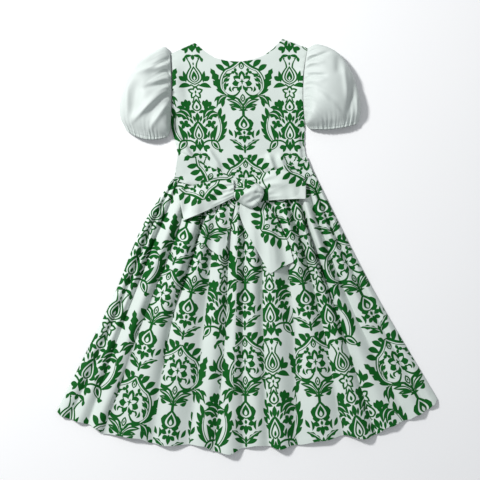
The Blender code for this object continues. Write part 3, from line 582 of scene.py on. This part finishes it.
def armhole_lift(y, armhole, away):
    """How far the sleeve's cap lifts the bodice beside the armhole."""
    t = np.clip((y - armhole[0]) / (armhole[1] - armhole[0]), 0.0, 1.0)
    return ARMHOLE_RISE * np.sin(np.pi * t) ** 0.8 * np.exp(-((away / ARMHOLE_REACH) ** 2))


def bodice_plan(trim):
    """x and y of the bodice's grid, from the waist to the neck and shoulders, drawn in by a trim."""
    across = np.linspace(0, 1, BODICE_COLUMNS + 1)[None, :]
    rise = np.linspace(0, 1, BODICE_ROWS + 1)[:, None]
    left_y = LEFT_SIDE["y"][0] + rise * (LEFT_SIDE["y"][-1] - LEFT_SIDE["y"][0])
    right_y = RIGHT_SIDE["y"][0] + rise * (RIGHT_SIDE["y"][-1] - RIGHT_SIDE["y"][0])
    left = side_x(LEFT_SIDE, left_y) + trim
    right = side_x(RIGHT_SIDE, right_y) - trim
    x = left + (right - left) * across
    neck = NECK_AND_SHOULDERS
    top = np.interp(neck["x"][0] + across * (neck["x"][-1] - neck["x"][0]), neck["x"], neck["y"]) - trim
    low = waist_y(x) + SEAM_GAP
    return x, low + (top - low) * rise, x - left, right - x, across, rise


def make_bodice(printed):
    x, y, from_left, from_right, across, rise = bodice_plan(0.0)
    edge = np.sin(np.pi * across)
    z = FRONT_BASE + BODICE_SWELL * edge ** 0.7 * np.sin(np.pi * (0.12 + 0.86 * rise)) ** 0.5
    z = z + WAIST_RISE * (1 - rise) ** 6
    z = z + armhole_lift(y, LEFT_ARMHOLE, from_left) + armhole_lift(y, RIGHT_ARMHOLE, from_right)
    z = z + BODICE_FOLD_DEPTH * fold_heights(x, y, BODICE_FOLDS) * edge ** 0.3
    z = z + ripple(x, y, height=0.25, size=42, seed=3) * edge ** 0.5
    z = z + side_puckers(y, from_left) + side_puckers(y, from_right)
    top = np.stack([x, y, z], axis=-1)
    front = shell("bodice_front_cloth", top, top - normals_of(top) * SHELL, [bodice_print(x, y)], printed)

    x, y, _, _, across, rise = bodice_plan(BACK_TRIM)
    lift = 0.5 * (1 + np.sin(x / 19 + 0.7 * np.sin(y / 33))) * np.sin(np.pi * across) * np.sin(np.pi * rise)
    under = np.stack([x, y, BACK_WAVE * lift], axis=-1)
    back = shell("bodice_back_cloth", under + (0, 0, SHELL), under, [bodice_print(-x, y)], printed)
    return front, back


def side_puckers(y, away):
    """Short gathers where the armhole and side seams draw the cloth in."""
    wave = np.sin(y / 2.4 + 1.3 * np.sin(y / 11)) + 0.6 * np.sin(y / 1.7 + 2)
    return PUCKER_HEIGHT * wave * np.exp(-((away / PUCKER_REACH) ** 2))


def down_curves(v, stations):
    """Values for each crease at each share v of the way down, from those at the four stations."""
    listed = [CREASE_COLUMNS[s] if isinstance(s, str) else np.full(len(CREASES), s) for s in stations]
    curves = [smooth(v, DOWN_THE_SKIRT, [values[j] for values in listed]) for j in range(len(CREASES))]
    return np.stack(curves, axis=-1)


def skirt_plan():
    """x, y and fold height over the skirt, its places across and down, and the x of each crease."""
    v = np.linspace(0, 1, SKIRT_ROWS + 1) ** 1.15
    folds = len(CREASES) - 1
    q = np.arange(folds * SAMPLES_A_FOLD + 1) / SAMPLES_A_FOLD
    j = np.minimum(q.astype(int), folds - 1)
    t = q - j
    crease_x = down_curves(v, ("waist_x", "knee_x", "mid_x", "hem_x"))
    rise = down_curves(v, (GATHER_RISE, "knee_rise", "mid_rise", "hem_rise"))[:, j]
    up = np.where(t <= 0.5, ease(t / 0.5), ease((1 - t) / 0.5))
    where = t + (CREASE_COLUMNS["lean"][j] - 0.5) * 4 * t * (1 - t)
    x = crease_x[:, j] + (crease_x[:, j + 1] - crease_x[:, j]) * where
    hem_y = np.where(t <= 0.5, CREASE_COLUMNS["hem_y"][j], CREASE_COLUMNS["hem_y"][j + 1])
    hem_y = hem_y + (CREASE_COLUMNS["crest_hem_y"][j] - hem_y) * up
    top_y = waist_y(x[0]) - SEAM_GAP
    y = top_y + (hem_y - top_y) * v[:, None]
    return x, y, rise * up ** FOLD_FULLNESS, q, v, crease_x


def place_among(x, down, v, crease_x):
    """The place of x among the creases, counted from the left, at a share of the way down."""
    creases = [np.interp(down, v, line) for line in crease_x.T]
    return np.interp(x, creases, np.arange(len(creases)))


def skirt_prints(x, y, v, crease_x):
    """Print coordinates for each group of folds, each along an axis that follows the creases."""
    blocks = []
    numbers = np.arange(crease_x.shape[1])
    for first_crease, last_crease, column, motif_x, motif_y, *low in PRINT_GROUPS:
        first = int(round(first_crease * SAMPLES_A_FOLD))
        last = int(round(last_crease * SAMPLES_A_FOLD))
        middle_y = y[:, (first + last) // 2]
        down = np.interp(-motif_y, -middle_y, v)
        levels = [down]
        places = [place_among(motif_x, down, v, crease_x)]
        if low:
            levels.append(np.interp(-low[1], -middle_y, v))
            places.append(place_among(low[0], levels[1], v, crease_x))
        axis_place = np.interp(v, levels, places)
        axis_x = np.array([np.interp(place, numbers, line) for place, line in zip(axis_place, crease_x)])
        steps = np.hypot(np.diff(axis_x), np.diff(middle_y)) / (1 + HEM_STRETCH * v[1:])
        length = np.concatenate([[0], np.cumsum(steps)])
        length -= np.interp(down, v, length)
        tilt = np.arctan2(np.gradient(axis_x), -np.gradient(middle_y))
        shift = (y - middle_y[:, None])[:, first:last + 1]
        aside = x[:, first:last + 1] - axis_x[:, None] + shift * np.tan(tilt)[:, None]
        across = aside * np.cos(tilt)[:, None]
        along = length[:, None] - shift / np.cos(tilt)[:, None] + aside * np.sin(tilt)[:, None]
        middle = MOTIF_MIDDLE[column]
        blocks.append(np.stack([across + middle[0], -(along + middle[1])], axis=-1))
    return blocks


def waist_gathers(x, v):
    """Fine gathers that run down from the waist seam, uneven in length and spacing."""
    draw = np.random.default_rng(11)
    total = np.zeros_like(x)
    for k in range(GATHERS):
        place = (k + draw.uniform(0.2, 0.8)) / GATHERS
        centre = x[0, 0] + (x[0, -1] - x[0, 0]) * place
        spread = (x[:, -1:] - x[:, :1]) / (x[0, -1] - x[0, 0])
        reach = draw.uniform(0.04, 0.16)
        width = draw.uniform(1.4, 2.6) * spread
        middle = x[:, :1] + (centre - x[0, 0]) * spread
        fade = np.exp(-((v[:, None] / reach) ** 2))
        total += draw.uniform(0.5, 1.0) * fade * np.exp(-(((x - middle) / width) ** 2))
    return GATHER_HEIGHT * total


def make_skirt(printed):
    x, y, folds, q, v, crease_x = skirt_plan()
    edge = np.clip(np.minimum(q, q[-1] - q) / 0.4, 0, 1) ** 0.6
    floor = CREASE_FLOOR * np.clip(np.minimum(q, q[-1] - q) / 0.2, 0, 1)
    extra = fold_heights(x, y, SKIRT_FOLDS) + waist_gathers(x, v) + ripple(x, y, height=0.35, size=60, seed=5)
    hem = HEM_RISE * np.clip((y - y[-1]) / HEM_DEPTH, 0, 1) ** 8
    z = FRONT_BASE + floor + np.maximum(folds + extra * edge, 0.0) - hem
    top = np.stack([x, y, z], axis=-1)
    prints = skirt_prints(x, y, v, crease_x)
    front = shell("skirt_front_cloth", top, top - normals_of(top) * SHELL, prints, printed)

    inner_x = x + np.where(q < 1, 1.0 - q, 0.0) - np.where(q > q[-1] - 1, 1.0 - (q[-1] - q), 0.0)
    inner_y = y + BACK_HEM_TRIM * v[:, None]
    lift = np.minimum(BACK_SHARE * folds, BACK_RISE_MOST) * edge
    under = np.stack([inner_x, inner_y, lift], axis=-1)[::2, ::2]
    back_print = joined_print(prints)[::2, ::2]
    back = shell("skirt_back_cloth", under + (0, 0, SHELL), under, [back_print], printed)
    return front, back


def joined_print(prints):
    """One unbroken print over a whole panel, from its middle group's axis."""
    columns = sum(block.shape[1] - 1 for block in prints) + 1
    middle = prints[len(prints) // 2]
    rows = middle.shape[0]
    spread = np.linspace(-BACK_PRINT_REACH, BACK_PRINT_REACH, columns)[None, :]
    widen = np.linspace(BACK_PRINT_WAIST, 1.0, rows)[:, None]
    return np.stack([spread * widen, np.repeat(middle[:, :1, 1], columns, axis=1)], axis=-1)


def fine_gathers(table, draw):
    """Rows of place, width, length and height for gathers that are all a little different."""
    count, *ranges = table
    places = (np.arange(count) + draw.uniform(0.05, 0.95, count)) / count
    return np.column_stack([places] + [draw.uniform(*limits, count) for limits in ranges])


def gathered(c, distance, gathers):
    """Their heights across a ring that lies some way from the seam that gathers it."""
    place, width, length, height = gathers.T[:, :, None]
    return (height * np.exp(-((distance / length) ** 2)) * np.exp(-(((c - place) / width) ** 2))).sum(axis=0)


def sleeve_profile(width, height, along, start, direction, aside, bow, folds, at_armhole, at_cuff):
    """One ring: domed and gathered above, flat below, with the listed folds on its upper side."""
    t = np.linspace(0, 1, RING_TOP_POINTS + 1)
    c = 0.5 - 0.5 * np.cos(np.pi * t)
    dome = np.sin(np.pi * t) ** SLEEVE_FULLNESS
    uneven = 0.55 + 0.45 * np.sin(11 * c + 5 * along)
    cap = ARMHOLE_GATHER_HEIGHT * max(0.0, 1 - along / 0.4) ** 1.4 * np.cos(2 * np.pi * ARMHOLE_GATHERS * c)
    cuff = CUFF_GATHER_HEIGHT * max(0.0, (along - 0.6) / 0.4) ** 1.4 * np.cos(2 * np.pi * CUFF_GATHERS * c)
    fine = gathered(c, along, at_armhole) + gathered(c, 1.0 - along, at_cuff)
    squeeze = ELASTIC_DEPTH * math.exp(-(((along - ELASTIC_AT) / 0.014) ** 2))
    round_edge = min(SLEEVE_EDGE_ROUND, 0.3 * height)
    start_fade = min(1.0, along / 0.05)
    gathers = (cap * start_fade + cuff) * uneven + fine * start_fade
    z = round_edge + (height - round_edge) * dome + (gathers - squeeze) * dome
    plan = start + direction * (c * width)[:, None] + aside * (bow * 4 * c * (1 - c))[:, None]
    inner_fade = min(1.0, along / 0.04) * min(1.0, (1.0 - along) / 0.05 + 0.15)
    z = z + SLEEVE_FOLD_DEPTH * fold_heights(plan[:, 0], plan[:, 1], folds) * dome ** 0.7 * inner_fade
    z = np.maximum(z, round_edge + 0.2 * (height - round_edge) * dome)
    top = np.column_stack([c * width, z])
    flat_c = np.linspace(width - round_edge, round_edge, RING_FLAT_POINTS)
    fade = np.sin(np.pi * np.linspace(0, 1, RING_FLAT_POINTS))
    under = SLEEVE_UNDER_WAVE * np.clip(np.sin(flat_c / 6.0 + 14 * along), 0, 1) * fade
    flat = np.column_stack([flat_c, under])
    bend_out = (width - 0.3 * round_edge, 0.3 * round_edge)
    bend_in = (0.3 * round_edge, 0.3 * round_edge)
    return np.concatenate([top, [bend_out], flat, [bend_in]])[::-1]


def make_sleeve(name, table, folds, satin):
    stations = np.array(table, float).T
    draw = np.random.default_rng(len(folds))
    at_armhole = fine_gathers(FINE_ARMHOLE_GATHERS, draw)
    at_cuff = fine_gathers(FINE_CUFF_GATHERS, draw)
    outer = []
    inner = []
    uv = []
    for along in np.linspace(0, 1, SLEEVE_RING_COUNT):
        at = [float(smooth(along, stations[0], line)) for line in stations[1:]]
        start = np.array(at[:2])
        span = np.array(at[2:4]) - start
        height, bow = at[4:]
        width = np.linalg.norm(span)
        direction = span / width
        aside = np.array([direction[1], -direction[0]])
        profile = sleeve_profile(
            width, height, along, start, direction, aside, bow, folds, at_armhole, at_cuff
        )
        for ring, line in ((outer, profile), (inner, inset(profile, SHELL))):
            share = line[:, 0] / width
            flat = start + direction * line[:, :1] + aside * (bow * 4 * share * (1 - share))[:, None]
            ring.append(np.column_stack([flat, line[:, 1]]))
        uv.append(np.column_stack([profile[:, 0], np.full(len(profile), SLEEVE_LENGTH * along)]))
    return tube(name, np.array(outer), np.array(inner), np.array(uv), satin)


def support_trees(pieces):
    trees = []
    for piece in pieces:
        points = [v.co / MM for v in piece.data.vertices]
        trees.append(BVHTree.FromPolygons(points, [p.vertices for p in piece.data.polygons]))
    return trees


def top_at(trees, x, y):
    highest = 0.0
    for tree in trees:
        hit = tree.ray_cast(Vector((x, y, SKY)), Vector((0, 0, -1)))[0]
        if hit is not None:
            highest = max(highest, hit.z)
    return highest


def settle(plan, pieces, reach, bridging):
    """Heights at which a piece rests on those beneath it, spanning their hollows as cloth does."""
    trees = support_trees(pieces)
    turns = [(0.0, 0.0)]
    turns += [(reach * math.cos(a), reach * math.sin(a)) for a in np.linspace(0, 2 * math.pi, 9)[:-1]]
    rows, columns = plan.shape[:2]
    floor = np.zeros((rows, columns))
    for r in range(rows):
        for c in range(columns):
            x, y = plan[r, c]
            floor[r, c] = max(top_at(trees, x + dx, y + dy) for dx, dy in turns)
    height = floor.copy()
    for _ in range(bridging):
        padded = np.pad(height, 1, mode="edge")
        mean = (padded[:-2, 1:-1] + padded[2:, 1:-1] + padded[1:-1, :-2] + padded[1:-1, 2:]) / 4
        height = np.maximum(floor, mean)
    return height


def ribbon_plan(edges):
    """Plan points of a ribbon between two listed edges."""
    t = np.linspace(0, 1, RIBBON_STEPS + 1)
    knots = np.linspace(0, 1, len(edges["first"]))
    first = np.column_stack([smooth(t, knots, [p[i] for p in edges["first"]]) for i in (0, 1)])
    second = np.column_stack([smooth(t, knots, [p[i] for p in edges["second"]]) for i in (0, 1)])
    w = np.linspace(0, 1, RIBBON_ACROSS + 1)[None, :, None]
    return first[:, None, :] * (1 - w) + second[:, None, :] * w


def pleat_heights(t, w, pleats):
    """Ridges along a ribbon that gather towards one end of it."""
    total = np.zeros(np.broadcast_shapes(t.shape, w.shape))
    for middle, start, end, width, height in pleats:
        inside = ease((t - start) / 0.25) * ease((end - t) / 0.25)
        total = total + height * inside * np.exp(-(((w - middle) / width) ** 2))
    return total


def make_ribbon(name, edges, pieces, wave, pleats, printed):
    plan = ribbon_plan(edges)
    rest = settle(plan, pieces, RIBBON_REACH, RIBBON_BRIDGING)
    t = np.linspace(0, 1, RIBBON_STEPS + 1)[:, None]
    w = np.linspace(0, 1, RIBBON_ACROSS + 1)[None, :]
    body = np.sin(np.pi * w) ** 0.5
    swell = wave * body * (0.6 + 0.4 * np.cos(2 * np.pi * (1.5 * t + 0.5 * w)))
    ridges = pleat_heights(t, w, pleats) * body
    top = rest + SEAM_GAP + RIBBON_SHELL * (0.35 + 0.65 * body) + swell + ridges
    under = rest + SEAM_GAP * 0.5 + (swell + ridges) * 0.9
    uv = turned_print(name, plan[..., 0], plan[..., 1])
    return shell(name + "_cloth", np.dstack([plan, top]), np.dstack([plan, under]), [uv], printed)


def make_loop(name, table, pieces, printed):
    """A loop as a flattened tube: out along its under layer, round the far end and back over the top."""
    knot_upper, knot_lower, end_upper, end_lower, most = table
    w = np.linspace(0, 1, LOOP_ACROSS + 1)
    knot = np.array(knot_upper) * (1 - w[:, None]) + np.array(knot_lower) * w[:, None]
    end = np.array(end_upper) * (1 - w[:, None]) + np.array(end_lower) * w[:, None]
    t = np.linspace(0, 1, LOOP_STEPS + 1)
    bulge = LOOP_UPPER_BULGE[name] * (1 - w) + LOOP_LOWER_BULGE[name] * w
    plan = knot[:, None, :] * (1 - t[None, :, None]) + end[:, None, :] * t[None, :, None]
    plan[..., 1] += bulge[:, None] * (4 * t * (1 - t))[None, :]
    rest = settle(plan, pieces, LOOP_REACH, LOOP_BRIDGING) + SEAM_GAP
    pleats = pleat_heights(t[None, :], w[:, None], LOOP_PLEATS)
    arch = (most - LOOP_PINCH_HEIGHT) * np.sin(np.pi * t ** 1.2) ** 0.9
    blunt = LOOP_PINCH_HEIGHT + (LOOP_END_HEIGHT - LOOP_PINCH_HEIGHT) * ease(t / 0.6)
    angles = np.linspace(-math.pi / 2, math.pi / 2, LOOP_BEND_POINTS)
    outer = []
    inner = []
    uv = []
    for i in range(len(w)):
        steps = np.linalg.norm(np.diff(plan[i], axis=0), axis=1)
        run = np.concatenate([[0], np.cumsum(steps)])
        middle = math.sin(math.pi * (0.15 + 0.7 * w[i]))
        body = LOOP_PINCH_HEIGHT + arch * middle
        height = np.maximum(body, blunt) + pleats[i]
        below = np.column_stack([run[:-1], rest[i, :-1]])
        above = np.column_stack([run[:-1], rest[i, :-1] + height[:-1]])[::-1]
        radius = height[-2] / 2
        depth = run[-1] - run[-2]
        middle_z = rest[i, -2] + radius
        bend = np.column_stack([run[-2] + depth * np.cos(angles), middle_z + radius * np.sin(angles)])[1:-1]
        profile = np.concatenate([below, bend, above])
        for ring, line in ((outer, profile), (inner, inset(profile, SHELL))):
            x = np.interp(line[:, 0], run, plan[i, :, 0])
            y = np.interp(line[:, 0], run, plan[i, :, 1])
            ring.append(np.column_stack([x, y, line[:, 1]]))
        uv.append(turned_print(name, outer[-1][:, 0], outer[-1][:, 1]))
    return tube(name + "_cloth", np.array(outer), np.array(inner), np.array(uv), printed)


def make_knot(pieces, printed):
    """A plump closed cushion over the ends that it binds, with wrinkles drawn towards its corners."""
    angles = np.linspace(0, 2 * math.pi, KNOT_SPOKES + 1)[:-1]
    shares = np.linspace(0.02, 1.0, KNOT_RINGS)[:, None]
    square = (np.abs(np.cos(angles)) ** 3 + np.abs(np.sin(angles)) ** 3) ** (-1 / 3)
    px = shares * square * np.cos(angles) * KNOT_HALF_SIZE[0]
    py = shares * square * np.sin(angles) * KNOT_HALF_SIZE[1]
    x = KNOT_CENTRE[0] + px * math.cos(KNOT_TURN) - py * math.sin(KNOT_TURN)
    y = KNOT_CENTRE[1] + px * math.sin(KNOT_TURN) + py * math.cos(KNOT_TURN)
    plan = np.stack([x, y], axis=-1)
    rest = settle(plan, pieces, KNOT_REACH, 0) + SEAM_GAP
    rest = np.maximum(rest, 0.5 * (rest + rest.max()))
    crown = rest.max() + KNOT_HEIGHT
    dome = (1 - shares ** 4) ** 0.5
    top = (rest + 2.5) * (1 - dome) + crown * dome
    wrinkles = ripple(x, y, height=0.5, size=14, seed=9)
    top = top + fold_heights(x, y, KNOT_FOLDS) * dome ** 0.5 + wrinkles * dome
    high = np.stack([x, y, top], axis=-1).reshape(-1, 3)
    low = np.stack([x, y, rest], axis=-1).reshape(-1, 3)
    peak = [KNOT_CENTRE[0], KNOT_CENTRE[1], float(top[0].mean())]
    base = [KNOT_CENTRE[0], KNOT_CENTRE[1], float(rest[0].mean())]
    vertices = np.concatenate([high, low, [peak, base]])
    shift = KNOT_RINGS * KNOT_SPOKES
    k = np.arange(KNOT_SPOKES)
    n = (k + 1) % KNOT_SPOKES
    upper = grid_faces(KNOT_RINGS, KNOT_SPOKES, 0, wrap=True).reshape(-1, 4)[:, ::-1]
    lower = grid_faces(KNOT_RINGS, KNOT_SPOKES, shift, wrap=True).reshape(-1, 4)
    last = (KNOT_RINGS - 1) * KNOT_SPOKES
    rim = np.stack([last + k, last + shift + k, last + shift + n, last + n], axis=1)
    fans = [(2 * shift, a, b) for a, b in zip(k.tolist(), n.tolist())]
    fans += [(2 * shift + 1, shift + b, shift + a) for a, b in zip(k.tolist(), n.tolist())]
    faces = upper.tolist() + lower.tolist() + rim.tolist() + fans
    corners = np.concatenate([np.asarray(face) for face in faces])
    uvs = turned_print("bow_knot", vertices[corners, 0], vertices[corners, 1])
    return make_object("bow_knot_cloth", vertices, faces, uvs, printed)


class Wires:
    """A new material, and short calls that each add one node to it."""

    def __init__(self, name):
        self.material = bpy.data.materials.new(name)
        self.material.use_nodes = True
        self.tree = self.material.node_tree
        self.shader = self.tree.nodes["Principled BSDF"]
        self.print = self.node("ShaderNodeUVMap", uv_map="print").outputs[0]
        self.solid = self.node("ShaderNodeTexCoord").outputs["Object"]

    def node(self, kind, *inputs, **settings):
        made = self.tree.nodes.new(kind)
        for name, value in settings.items():
            setattr(made, name, value)
        for socket, value in zip(made.inputs, inputs):
            if value is not None:
                self.feed(socket, value)
        return made

    def feed(self, socket, value):
        if isinstance(value, bpy.types.NodeSocket):
            self.tree.links.new(value, socket)
        else:
            socket.default_value = value

    def math(self, operation, *inputs):
        return self.node("ShaderNodeMath", *inputs, operation=operation).outputs[0]

    def dot(self, place, constants):
        return self.node("ShaderNodeVectorMath", place, constants, operation="DOT_PRODUCT").outputs["Value"]

    def noise(self, scale, detail):
        return self.node("ShaderNodeTexNoise", self.solid, None, scale, detail).outputs[0]

    def mix(self, share, first, second):
        made = self.node("ShaderNodeMix", share, data_type="RGBA")
        self.feed(made.inputs[6], first)
        self.feed(made.inputs[7], second)
        return made.outputs[2]

    def bump(self, height, strength, distance_metres, normal=None):
        made = self.node("ShaderNodeBump")
        self.feed(made.inputs["Strength"], strength)
        self.feed(made.inputs["Distance"], distance_metres)
        self.feed(made.inputs["Height"], height)
        if normal is not None:
            self.feed(made.inputs["Normal"], normal)
        return made.outputs["Normal"]

    def shade(self, settings):
        for name, value in settings.items():
            self.feed(self.shader.inputs[name], value)
        return self.material


def draw_shapes(wires, place, shapes):
    """How far inside the ink a place (x, y, 1) lies, from a table of shapes."""
    ink = None
    for base_x, base_y, tip_x, tip_y, half_width, *rest in shapes:
        bow, fat, lobes, stem, is_ink = *rest, *SHAPE_REST[len(rest):]
        run_x, run_y = tip_x - base_x, tip_y - base_y
        length = math.hypot(run_x, run_y)
        middle_x, middle_y = base_x + run_x / 2, base_y + run_y / 2
        ax, ay = 2 * run_x / length ** 2, 2 * run_y / length ** 2
        bx, by = -run_y / length, run_x / length
        t = wires.dot(place, (ax, ay, -ax * middle_x - ay * middle_y))
        s = wires.dot(place, (bx, by, -bx * middle_x - by * middle_y))
        hump = wires.math("SUBTRACT", 1.0, wires.math("MULTIPLY", t, t))
        if bow:
            s = wires.math("MULTIPLY_ADD", hump, bow, s)
        if fat:
            s = wires.math("MULTIPLY", s, wires.math("MULTIPLY_ADD", t, -fat, 1.0))
        if lobes:
            notch = wires.math("PINGPONG", wires.math("MULTIPLY", t, 0.5 * lobes), 0.5)
            hump = wires.math("MULTIPLY", hump, wires.math("MULTIPLY_ADD", notch, 1.2, 0.65))
        if stem:
            hump = wires.math("MINIMUM", wires.math("MULTIPLY", hump, STEM_ENDS), 1.0)
        reach = wires.math("MULTIPLY", hump, half_width)
        inside = wires.math("SUBTRACT", reach, wires.math("ABSOLUTE", s))
        if ink is None:
            ink = inside
        elif is_ink:
            ink = wires.math("MAXIMUM", ink, inside)
        else:
            ink = wires.math("MINIMUM", ink, wires.math("MULTIPLY", inside, -1.0))
    return ink


def damask(wires):
    """How far inside the ink a place on the printed cloth lies."""
    split = wires.node("ShaderNodeSeparateXYZ", wires.print)
    x = wires.math("PINGPONG", wires.math("MULTIPLY", split.outputs[0], 1000.0), 0.5 * REPEAT_ACROSS)
    down = wires.math("MULTIPLY", split.outputs[1], -1000.0)
    inks = []
    for shapes, lead, across in (
        (MEDALLION, MEDALLION_LEAD, x),
        (ROUNDEL, ROUNDEL_LEAD, wires.math("SUBTRACT", 0.5 * REPEAT_ACROSS, x)),
    ):
        turned = wires.math("FLOORED_MODULO", wires.math("ADD", down, lead), REPEAT_DOWN)
        along = wires.math("SUBTRACT", turned, lead)
        place = wires.node("ShaderNodeCombineXYZ", across, along, 1.0).outputs[0]
        inks.append(draw_shapes(wires, place, shapes))
    return wires.math("MAXIMUM", *inks)


def weave(wires, threads_a_metre):
    """Over and under of a plain weave."""
    split = wires.node("ShaderNodeSeparateXYZ", wires.print)
    warp = wires.math("SINE", wires.math("MULTIPLY", split.outputs[0], math.pi * threads_a_metre))
    weft = wires.math("SINE", wires.math("MULTIPLY", split.outputs[1], math.pi * threads_a_metre))
    return wires.math("MULTIPLY", warp, weft)


def finish_cloth(wires, colour, surface):
    """The colour, gloss, threads and slubs of a cloth."""
    roughness, specular, threads, thread_bump, thread_depth, slub_scale, slub_bump, slub_depth = surface
    woven = wires.bump(weave(wires, threads), thread_bump, thread_depth)
    slubs = wires.bump(wires.noise(scale=slub_scale, detail=2.0), slub_bump, slub_depth, woven)
    return wires.shade({
        "Base Color": colour,
        "Roughness": roughness,
        "Specular IOR Level": specular,
        "Normal": slubs,
    })


def printed_cloth_material():
    wires = Wires("damask_printed_cotton")
    ink_edge = wires.math("ADD", damask(wires), INK_SPREAD)
    mask = wires.node("ShaderNodeMapRange", ink_edge, -INK_BLUR, INK_BLUR, 0.0, 1.0).outputs[0]
    cloth = wires.mix(wires.noise(scale=9.0, detail=3.0), *CLOTH_COLOURS)
    ink = wires.mix(wires.noise(scale=420.0, detail=2.0), *INK_COLOURS)
    return finish_cloth(wires, wires.mix(mask, cloth, ink), COTTON)


def satin_material():
    wires = Wires("mint_satin")
    colour = wires.mix(wires.noise(scale=14.0, detail=3.0), *SATIN_COLOURS)
    return finish_cloth(wires, colour, SATIN)


def floor_material():
    wires = Wires("pale_floor")
    colour = wires.mix(wires.noise(scale=2.0, detail=2.0), *FLOOR_COLOURS)
    return wires.shade({"Base Color": colour, "Roughness": 0.9})


def make_stage():
    """The floor, the soft studio light and the camera straight above."""
    half = FLOOR_HALF
    mesh = bpy.data.meshes.new("floor")
    corners = [(-half, -half, 0), (half, -half, 0), (half, half, 0), (-half, half, 0)]
    mesh.from_pydata(corners, [], [(0, 1, 2, 3)])
    mesh.materials.append(floor_material())
    floor = bpy.data.objects.new("floor", mesh)
    floor.location.z = -FLOOR_DROP
    bpy.context.scene.collection.objects.link(floor)

    lamp = bpy.data.lights.new("key", "AREA")
    lamp.shape = "DISK"
    lamp.size = LAMP_SIZE
    lamp.energy = LAMP_POWER
    light = bpy.data.objects.new("key", lamp)
    light.location = LAMP_PLACE
    light.rotation_euler = (-Vector(LAMP_PLACE)).to_track_quat("-Z", "Y").to_euler()
    bpy.context.scene.collection.objects.link(light)

    world = bpy.data.worlds.new("studio")
    world.use_nodes = True
    sky = world.node_tree.nodes["Background"]
    sky.inputs["Color"].default_value = WORLD_COLOUR
    sky.inputs["Strength"].default_value = WORLD_STRENGTH
    bpy.context.scene.world = world

    bpy.context.scene.view_settings.view_transform = "Standard"

    camera = bpy.data.cameras.new("camera")
    camera.sensor_width = SENSOR
    camera.lens = SENSOR * VIEW_HEIGHT / VIEW_WIDTH
    eye = bpy.data.objects.new("camera", camera)
    eye.location = (VIEW_CENTRE[0] * MM, VIEW_CENTRE[1] * MM, VIEW_HEIGHT * MM)
    bpy.context.scene.collection.objects.link(eye)
    bpy.context.scene.camera = eye


def declare(piece, node):
    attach(piece, "root")
    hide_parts(node)


make_stage()
printed = printed_cloth_material()
satin = satin_material()
bodice_front, bodice_back = make_bodice(printed)
skirt_front, skirt_back = make_skirt(printed)
sleeve_left = make_sleeve("sleeve_left_satin", LEFT_SLEEVE, LEFT_SLEEVE_FOLDS, satin)
sleeve_right = make_sleeve("sleeve_right_satin", RIGHT_SLEEVE, RIGHT_SLEEVE_FOLDS, satin)
panels = [skirt_front, bodice_front]
sash_left = make_ribbon("sash_left", SASH_LEFT, panels, SASH_WAVE, SASH_PLEATS, printed)
sash_right = make_ribbon("sash_right", SASH_RIGHT, panels, SASH_WAVE, SASH_PLEATS, printed)
under_tails = panels + [sash_left, sash_right]
tail_left = make_ribbon("bow_tail_left", TAIL_LEFT, under_tails, TAIL_WAVE, TAIL_PLEATS, printed)
under_right = under_tails + [tail_left]
tail_right = make_ribbon("bow_tail_right", TAIL_RIGHT, under_right, TAIL_WAVE, TAIL_PLEATS, printed)
under_loops = under_tails + [tail_left, tail_right]
loop_left = make_loop("bow_loop_left", LOOP_LEFT, under_loops, printed)
loop_right = make_loop("bow_loop_right", LOOP_RIGHT, under_loops, printed)
knot = make_knot(under_loops + [loop_left, loop_right], printed)

declare(bodice_front, "bodice_front")
declare(bodice_back, "bodice_back")
declare(skirt_front, "skirt_front")
declare(skirt_back, "skirt_back")
declare(sleeve_left, "sleeve_left")
declare(sleeve_right, "sleeve_right")
declare(sash_left, "sash_left")
declare(sash_right, "sash_right")
declare(tail_left, "bow_tail_left")
declare(tail_right, "bow_tail_right")
declare(loop_left, "bow_loop_left")
declare(loop_right, "bow_loop_right")
declare(knot, "bow_knot")
